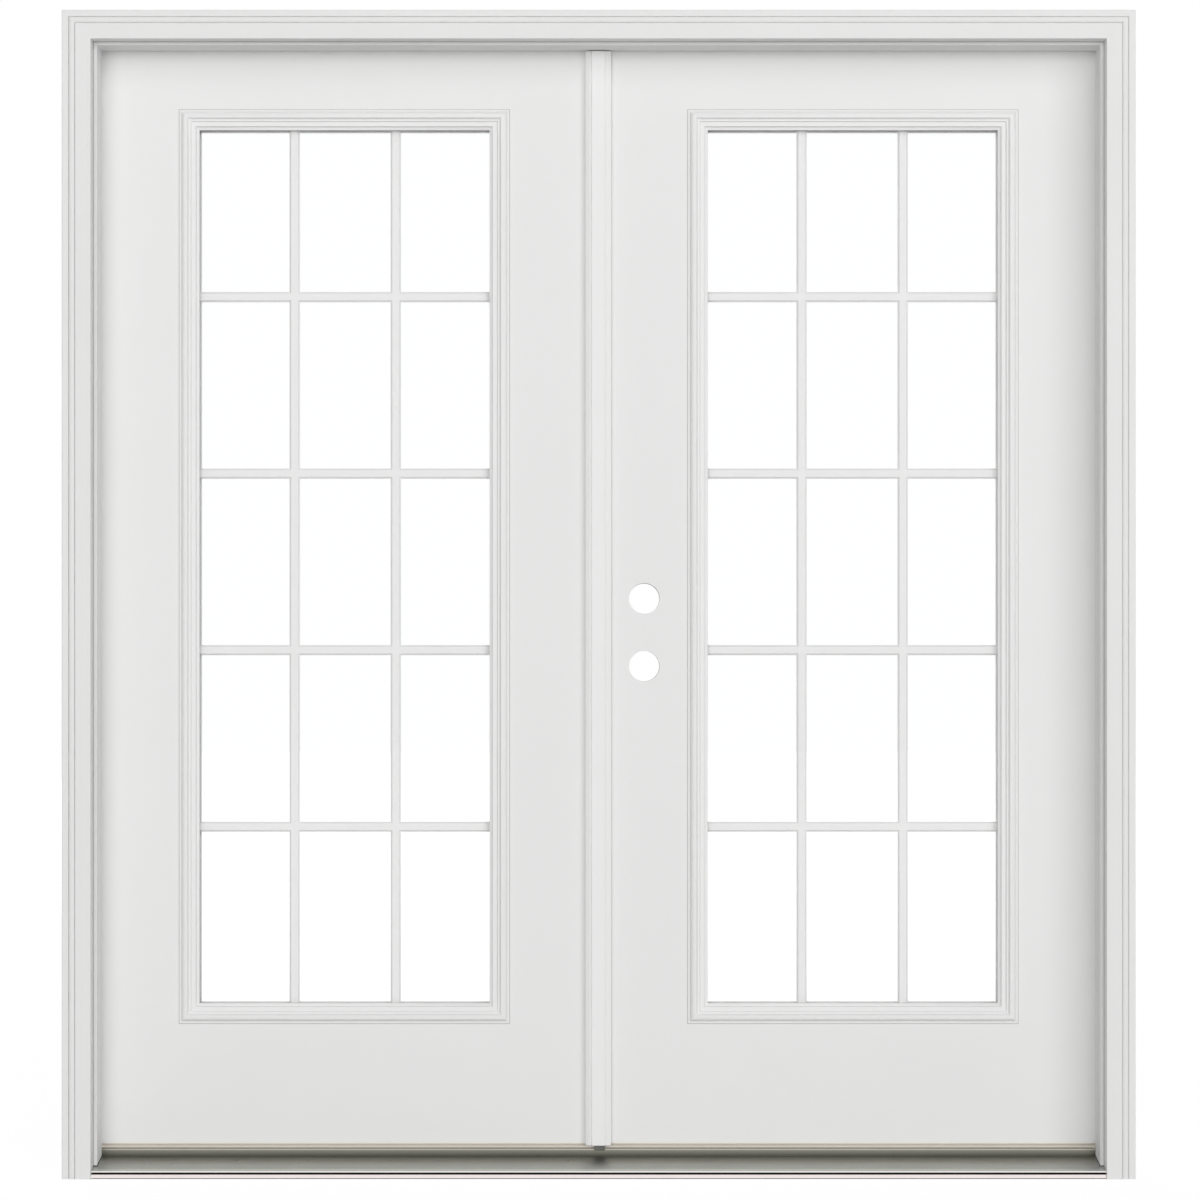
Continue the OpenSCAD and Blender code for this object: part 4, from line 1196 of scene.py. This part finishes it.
class ScrewTree:
    """Geometry nodes that set a cross-recessed screw at every point of a mesh. Sizes are in metres.

    Attributes:
        INPUTS: Named sizes of a screw, with their defaults.
        HEAD_FACETS: Sides of the head.
        SHANK_FACETS: Sides of the shank.
        TIP_RADIUS: Radius of the shank's tip.
        ARM_SHARE: Width of the recess's arms as a share of their length.
        RECESS_SHARE: Height of the cutting cross as a share of the head's; half of it goes into the head.
    """

    INPUTS = {
        "Head Radius": 0.0042,
        "Head Height": 0.0022,
        "Seat Radius": 0.002,
        "Shank Radius": 0.002,
        "Length": 0.017,
        "Recess": 0.0045,
    }
    HEAD_FACETS = 28
    SHANK_FACETS = 20
    TIP_RADIUS = 0.0003
    ARM_SHARE = 0.22
    RECESS_SHARE = 1.3

    def __init__(self) -> None:
        """Builds the tree once."""
        self.tree = bpy.data.node_groups.new("cross_recess_screws", "GeometryNodeTree")
        face = self.tree.interface
        face.new_socket("Geometry", in_out="INPUT", socket_type="NodeSocketGeometry")
        self.ids: dict[str, str] = {}
        for label, default in self.INPUTS.items():
            socket = face.new_socket(label, in_out="INPUT", socket_type="NodeSocketFloat")
            socket.default_value = default
            self.ids[label] = socket.identifier
        for label, kind in (("Seed", "NodeSocketInt"), ("Finish", "NodeSocketMaterial")):
            self.ids[label] = face.new_socket(label, in_out="INPUT", socket_type=kind).identifier
        face.new_socket("Geometry", in_out="OUTPUT", socket_type="NodeSocketGeometry")
        sheet = Sheet(self.tree)
        given = sheet.add("NodeGroupInput").outputs
        out = sheet.add("NodeGroupOutput")
        spots = {"Points": given["Geometry"], "Instance": self.screw(sheet, given)}
        spots["Rotation"] = self.spin(sheet, given)
        placed = sheet.add("GeometryNodeInstanceOnPoints", spots)
        real = sheet.add("GeometryNodeRealizeInstances", {"Geometry": placed.outputs[0]})
        dressed = sheet.add("GeometryNodeSetMaterial", {"Geometry": real.outputs[0]})
        sheet.put(dressed.inputs["Material"], given["Finish"])
        sheet.put(out.inputs[0], dressed.outputs[0])

    def cone(
        self, sheet: Sheet, facets: int, top: object, foot: object, depth: object, drop: object
    ) -> bpy.types.NodeSocket:
        """Adds a cone below the screw's face.

        Args:
            sheet: The tree's nodes.
            facets: Sides of the cone.
            top: Radius of its upper end.
            foot: Radius of its lower end.
            depth: Its height.
            drop: Distance of its lower end below the screw's face.

        Returns:
            The cone's mesh.
        """
        sizes = {"Vertices": facets, "Radius Top": top, "Radius Bottom": foot, "Depth": depth}
        shape = sheet.add("GeometryNodeMeshCone", sizes)
        place = sheet.add("ShaderNodeCombineXYZ", {"Z": sheet.math("MULTIPLY", drop, -1.0)})
        moved = {"Geometry": shape.outputs["Mesh"], "Translation": place.outputs[0]}
        return sheet.add("GeometryNodeTransform", moved).outputs[0]

    def screw(self, sheet: Sheet, given: bpy.types.NodeOutputs) -> bpy.types.NodeSocket:
        """Adds one screw: a head cut by a cross, and a shank.

        Args:
            sheet: The tree's nodes.
            given: The tree's inputs.

        Returns:
            The screw's mesh, with its face at the origin.
        """
        tall, length, arm = given["Head Height"], given["Length"], given["Recess"]
        head = self.cone(sheet, self.HEAD_FACETS, given["Head Radius"], given["Seat Radius"], tall, tall)
        below = sheet.math("SUBTRACT", length, tall)
        shank = self.cone(sheet, self.SHANK_FACETS, given["Shank Radius"], self.TIP_RADIUS, below, length)
        slim = sheet.math("MULTIPLY", arm, self.ARM_SHARE)
        deep = sheet.math("MULTIPLY", tall, self.RECESS_SHARE)
        cut = sheet.add("GeometryNodeMeshBoolean", {"Mesh 1": head}, operation="DIFFERENCE", solver="EXACT")
        for wide, high in ((arm, slim), (slim, arm)):
            size = sheet.add("ShaderNodeCombineXYZ", {"X": wide, "Y": high, "Z": deep})
            cube = sheet.add("GeometryNodeMeshCube", {"Size": size.outputs[0]})
            sheet.put(cut.inputs["Mesh 2"], cube.outputs["Mesh"])
        whole = sheet.add("GeometryNodeJoinGeometry")
        for mesh in (cut.outputs["Mesh"], shank):
            sheet.put(whole.inputs[0], mesh)
        return whole.outputs[0]

    def spin(self, sheet: Sheet, given: bpy.types.NodeOutputs) -> bpy.types.NodeSocket:
        """Adds the turn of each screw: along its axis, and driven home at any angle.

        Args:
            sheet: The tree's nodes.
            given: The tree's inputs.

        Returns:
            The rotation at each point.
        """
        axis = sheet.add("GeometryNodeInputNamedAttribute", {"Name": "axis"}, data_type="FLOAT_VECTOR")
        turn = sheet.add("FunctionNodeAlignRotationToVector", {"Vector": axis.outputs[0]}, axis="Z")
        limits = {2: 0.0, 3: math.pi, "Seed": given["Seed"]}
        angle = sheet.add("FunctionNodeRandomValue", limits, data_type="FLOAT").outputs[1]
        drive = sheet.add("FunctionNodeAxisAngleToRotation", {"Axis": Way.UP.value, "Angle": angle})
        both = {0: turn.outputs[0], 1: drive.outputs[0]}
        return sheet.add("FunctionNodeRotateRotation", both, rotation_space="LOCAL").outputs[0]


@dataclass
class ScrewSet:
    """Screws of one node, set on its solids.

    Attributes:
        node: Node that the screws stand for.
        way: Direction of the heads on the right-hand side of the unit.
        sizes: Inputs that differ from the tree's own.
        mirrored: True if the left-hand screws face the other way.
        sharp_deg: Faces that meet at more than this keep a sharp edge.
    """

    node: str
    way: Way
    sizes: dict[str, float]
    mirrored: bool = False
    sharp_deg: float = 30.0

    def points(self) -> tuple[list[Vector], list[Vector]]:
        """Finds where the screws sit.

        Returns:
            The middle of every head's face, and the way that it faces.
        """
        spots, ways = [], []
        for low, high in islands(self.node):
            middle = (low + high) / 2
            way = Vector(self.way.value)
            if self.mirrored and middle.x < 0:
                way.x = -way.x
            spots.append(middle + way * abs(way.dot(high - low)) / 2)
            ways.append(way)
        return spots, ways

    def build(self, tree: ScrewTree) -> None:
        """Builds the screws as one plain mesh.

        Args:
            tree: Nodes that set a screw at each point.
        """
        spots, ways = self.points()
        dots = bpy.data.meshes.new(self.node + "_points")
        dots.from_pydata([tuple(p) for p in spots], [], [])
        axis = dots.attributes.new("axis", "FLOAT_VECTOR", "POINT")
        for entry, way in zip(axis.data, ways):
            entry.vector = way
        holder = bpy.data.objects.new(self.node + "_points", dots)
        bpy.context.scene.collection.objects.link(holder)
        modifier = holder.modifiers.new("screws", "NODES")
        modifier.node_group = tree.tree
        for label, value in (ScrewTree.INPUTS | self.sizes).items():
            modifier[tree.ids[label]] = value
        modifier[tree.ids["Seed"]] = SEED
        modifier[tree.ids["Finish"]] = Finishes.of(slot_of(self.node))
        graph = bpy.context.evaluated_depsgraph_get()
        mesh = bpy.data.meshes.new_from_object(holder.evaluated_get(graph))
        holder.modifiers.remove(modifier)
        bpy.data.objects.remove(holder)
        mesh.set_sharp_from_angle(angle=math.radians(self.sharp_deg))
        piece = bpy.data.objects.new(self.node + "_heads", mesh)
        bpy.context.scene.collection.objects.link(piece)
        stand_for(piece, self.node)


def build_screws() -> None:
    """Builds every set of screws."""
    tree = ScrewTree()
    leaf_hinge = {"Length": 0.025}
    astragal = {"Length": 0.045}
    pan = {"Head Radius": 0.0036, "Seat Radius": 0.0036, "Head Height": 0.0024, "Length": 0.0398}
    cap = {"Head Radius": 0.005, "Seat Radius": 0.005, "Head Height": 0.003, "Shank Radius": 0.003,
           "Length": 0.0184, "Recess": 0.006}
    sets = [
        ScrewSet("jamb_hinge_screws", Way.LEFT, {}, mirrored=True),
        ScrewSet("active_hinge_screws", Way.RIGHT, leaf_hinge),
        ScrewSet("inactive_hinge_screws", Way.LEFT, leaf_hinge),
        ScrewSet("active_lite_screws", Way.ROOM, pan),
        ScrewSet("inactive_lite_screws", Way.ROOM, pan),
        ScrewSet("astragal_screws", Way.RIGHT, astragal),
        ScrewSet("sill_cap_screws", Way.UP, cap),
    ]
    for screws in sets:
        screws.build(tree)


@dataclass(frozen=True)
class SoftLamp:
    """Square soft lamp.

    Attributes:
        name: Name of the lamp.
        place: Where it hangs, in metres.
        size: Its side.
        watts: Its power.
        aim: Point that it faces.
    """

    name: str
    place: Sequence[float]
    size: float
    watts: float
    aim: Sequence[float] = (0.0, 0.0, 1.0)

    def hang(self) -> None:
        """Hangs the lamp, unseen by the camera, in gloss and through glass."""
        data = bpy.data.lights.new(self.name, "AREA")
        data.size = self.size
        data.energy = self.watts
        piece = bpy.data.objects.new(self.name, data)
        piece.location = self.place
        piece.rotation_euler = (Vector(self.aim) - Vector(self.place)).to_track_quat("-Z", "Y").to_euler()
        piece.visible_camera = False
        piece.visible_glossy = False
        piece.visible_transmission = False
        bpy.context.scene.collection.objects.link(piece)


@dataclass
class Stage:
    """Pale floor, white surroundings and soft lamps.

    Attributes:
        floor_size: Side of the floor in metres.
        floor_colour: Colour of the floor.
        floor_rough: Roughness of the floor.
        shadow_share: How much of the floor's own shading the camera sees.
        floor_glow: White that the floor shows otherwise, near the door.
        far_glow: White that it shows towards the horizon.
        glow_range: Distances between which the glow goes from near to far.
        ambient: Light from the surroundings.
        lamps: One lamp on the right, one in front and one on the room side.
    """

    floor_size: float = 60.0
    floor_colour: Colour = (0.66, 0.66, 0.66)
    floor_rough: float = 0.9
    shadow_share: float = 0.12
    floor_glow: float = 1.08
    far_glow: float = 1.16
    glow_range: Point2 = (3.0, 8.0)
    ambient: float = 0.29
    lamps: Sequence[SoftLamp] = (
        SoftLamp("key_panel", place=(8.5, -17.0, 6.4), size=13.0, watts=1540.0),
        SoftLamp("front_panel", place=(-4.0, -20.0, 3.6), size=8.0, watts=1280.0),
        SoftLamp("room_panel", place=(-6.0, 19.0, 7.0), size=14.0, watts=2500.0),
    )

    def build(self) -> None:
        """Builds the floor, the world and the lamps."""
        self.floor()
        self.world()
        for lamp in self.lamps:
            lamp.hang()

    def rays(self, sheet: Sheet) -> tuple[bpy.types.NodeSocket, bpy.types.NodeSocket]:
        """Tells apart the rays that show the surroundings.

        Args:
            sheet: Nodes of the floor's material or of the world.

        Returns:
            1 for rays from the camera, and 1 for rays in gloss or through glass.
        """
        path = sheet.add("ShaderNodeLightPath").outputs
        shine = sheet.math("MAXIMUM", path["Is Glossy Ray"], path["Is Transmission Ray"])
        return path["Is Camera Ray"], shine

    def floor(self) -> None:
        """Lays the floor, white to the camera apart from the shadow on it."""
        made, sheet, shader = plain_material("pale_floor")
        sheet.fill(shader, {"Base Color": opaque(self.floor_colour), "Roughness": self.floor_rough})
        sheet.put(shader.inputs["Specular IOR Level"], 0.0)
        far = sheet.add("ShaderNodeVectorMath", {0: sheet.place()}, operation="LENGTH").outputs["Value"]
        glow = sheet.ramp(far, self.glow_range, (self.floor_glow, self.far_glow))
        white = sheet.add("ShaderNodeEmission", {"Color": WHITE, "Strength": glow})
        direct, shine = self.rays(sheet)
        share = sheet.math("MAXIMUM", sheet.math("MULTIPLY", direct, 1.0 - self.shadow_share), shine)
        sheet.surface(share, shader, white)
        half = self.floor_size / 2

        def plane(work: bmesh.types.BMesh) -> None:
            """Adds the floor's one face."""
            corners = ((-half, -half), (half, -half), (half, half), (-half, half))
            work.faces.new([work.verts.new((x, y, 0.0)) for x, y in corners])

        ground = mesh_piece("pale_floor", plane)
        wear(ground, made)

    def world(self) -> None:
        """Sets surroundings that light softly and look white."""
        world = bpy.data.worlds.new("white_surroundings")
        bpy.context.scene.world = world
        world.use_nodes = True
        world.node_tree.nodes.clear()
        sheet = Sheet(world.node_tree)
        seen = sheet.math("MAXIMUM", *self.rays(sheet))
        strength = sheet.ramp(seen, (0.0, 1.0), (self.ambient, 1.0))
        glow = sheet.add("ShaderNodeBackground", {"Color": WHITE, "Strength": strength})
        sheet.add("ShaderNodeOutputWorld", {"Surface": glow.outputs[0]})


@dataclass
class Viewpoint:
    """Camera square to the doorway, as in the photograph, with its frame raised a little.

    Attributes:
        distance: Distance in front of the casing in metres.
        height: Height above the sill's underside.
        mm_per_pixel: Scale at the casing in a frame of the given width.
        frame_px: Width of that frame.
        horizon_px: Row of the horizon.
        middle_px: Column of the doorway's middle.
        sensor: Width of the sensor in millimetres.
    """

    distance: float = 6.5
    height: float = 0.905
    mm_per_pixel: float = 1.7422
    frame_px: float = 1200.0
    horizon_px: float = 660.0
    middle_px: float = 598.65
    sensor: float = 36.0

    def build(self) -> None:
        """Places the camera."""
        data = bpy.data.cameras.new("front_view")
        data.sensor_width = self.sensor
        data.lens = self.sensor * self.distance / (self.mm_per_pixel * MM * self.frame_px)
        data.shift_x = (self.frame_px / 2 - self.middle_px) / self.frame_px
        data.shift_y = (self.horizon_px - self.frame_px / 2) / self.frame_px
        camera = bpy.data.objects.new("front_view", data)
        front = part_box("head_brickmould")[0][1]
        camera.location = (0.0, front - self.distance, self.height)
        camera.rotation_euler = (math.radians(90.0), 0.0, 0.0)
        bpy.context.scene.collection.objects.link(camera)
        bpy.context.scene.camera = camera


def main() -> None:
    """Dresses the door unit and sets the stage."""
    logging.basicConfig(level=logging.INFO, format="%(name)s: %(message)s")
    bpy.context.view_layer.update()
    bpy.context.scene.view_settings.view_transform = "Standard"
    Viewpoint().build()
    Stage().build()
    dress_nodes()
    Casing.from_frame().build()
    LiteFrames().build()
    BulbStrips().build()
    build_screws()


if __name__ == "__main__":
    main()
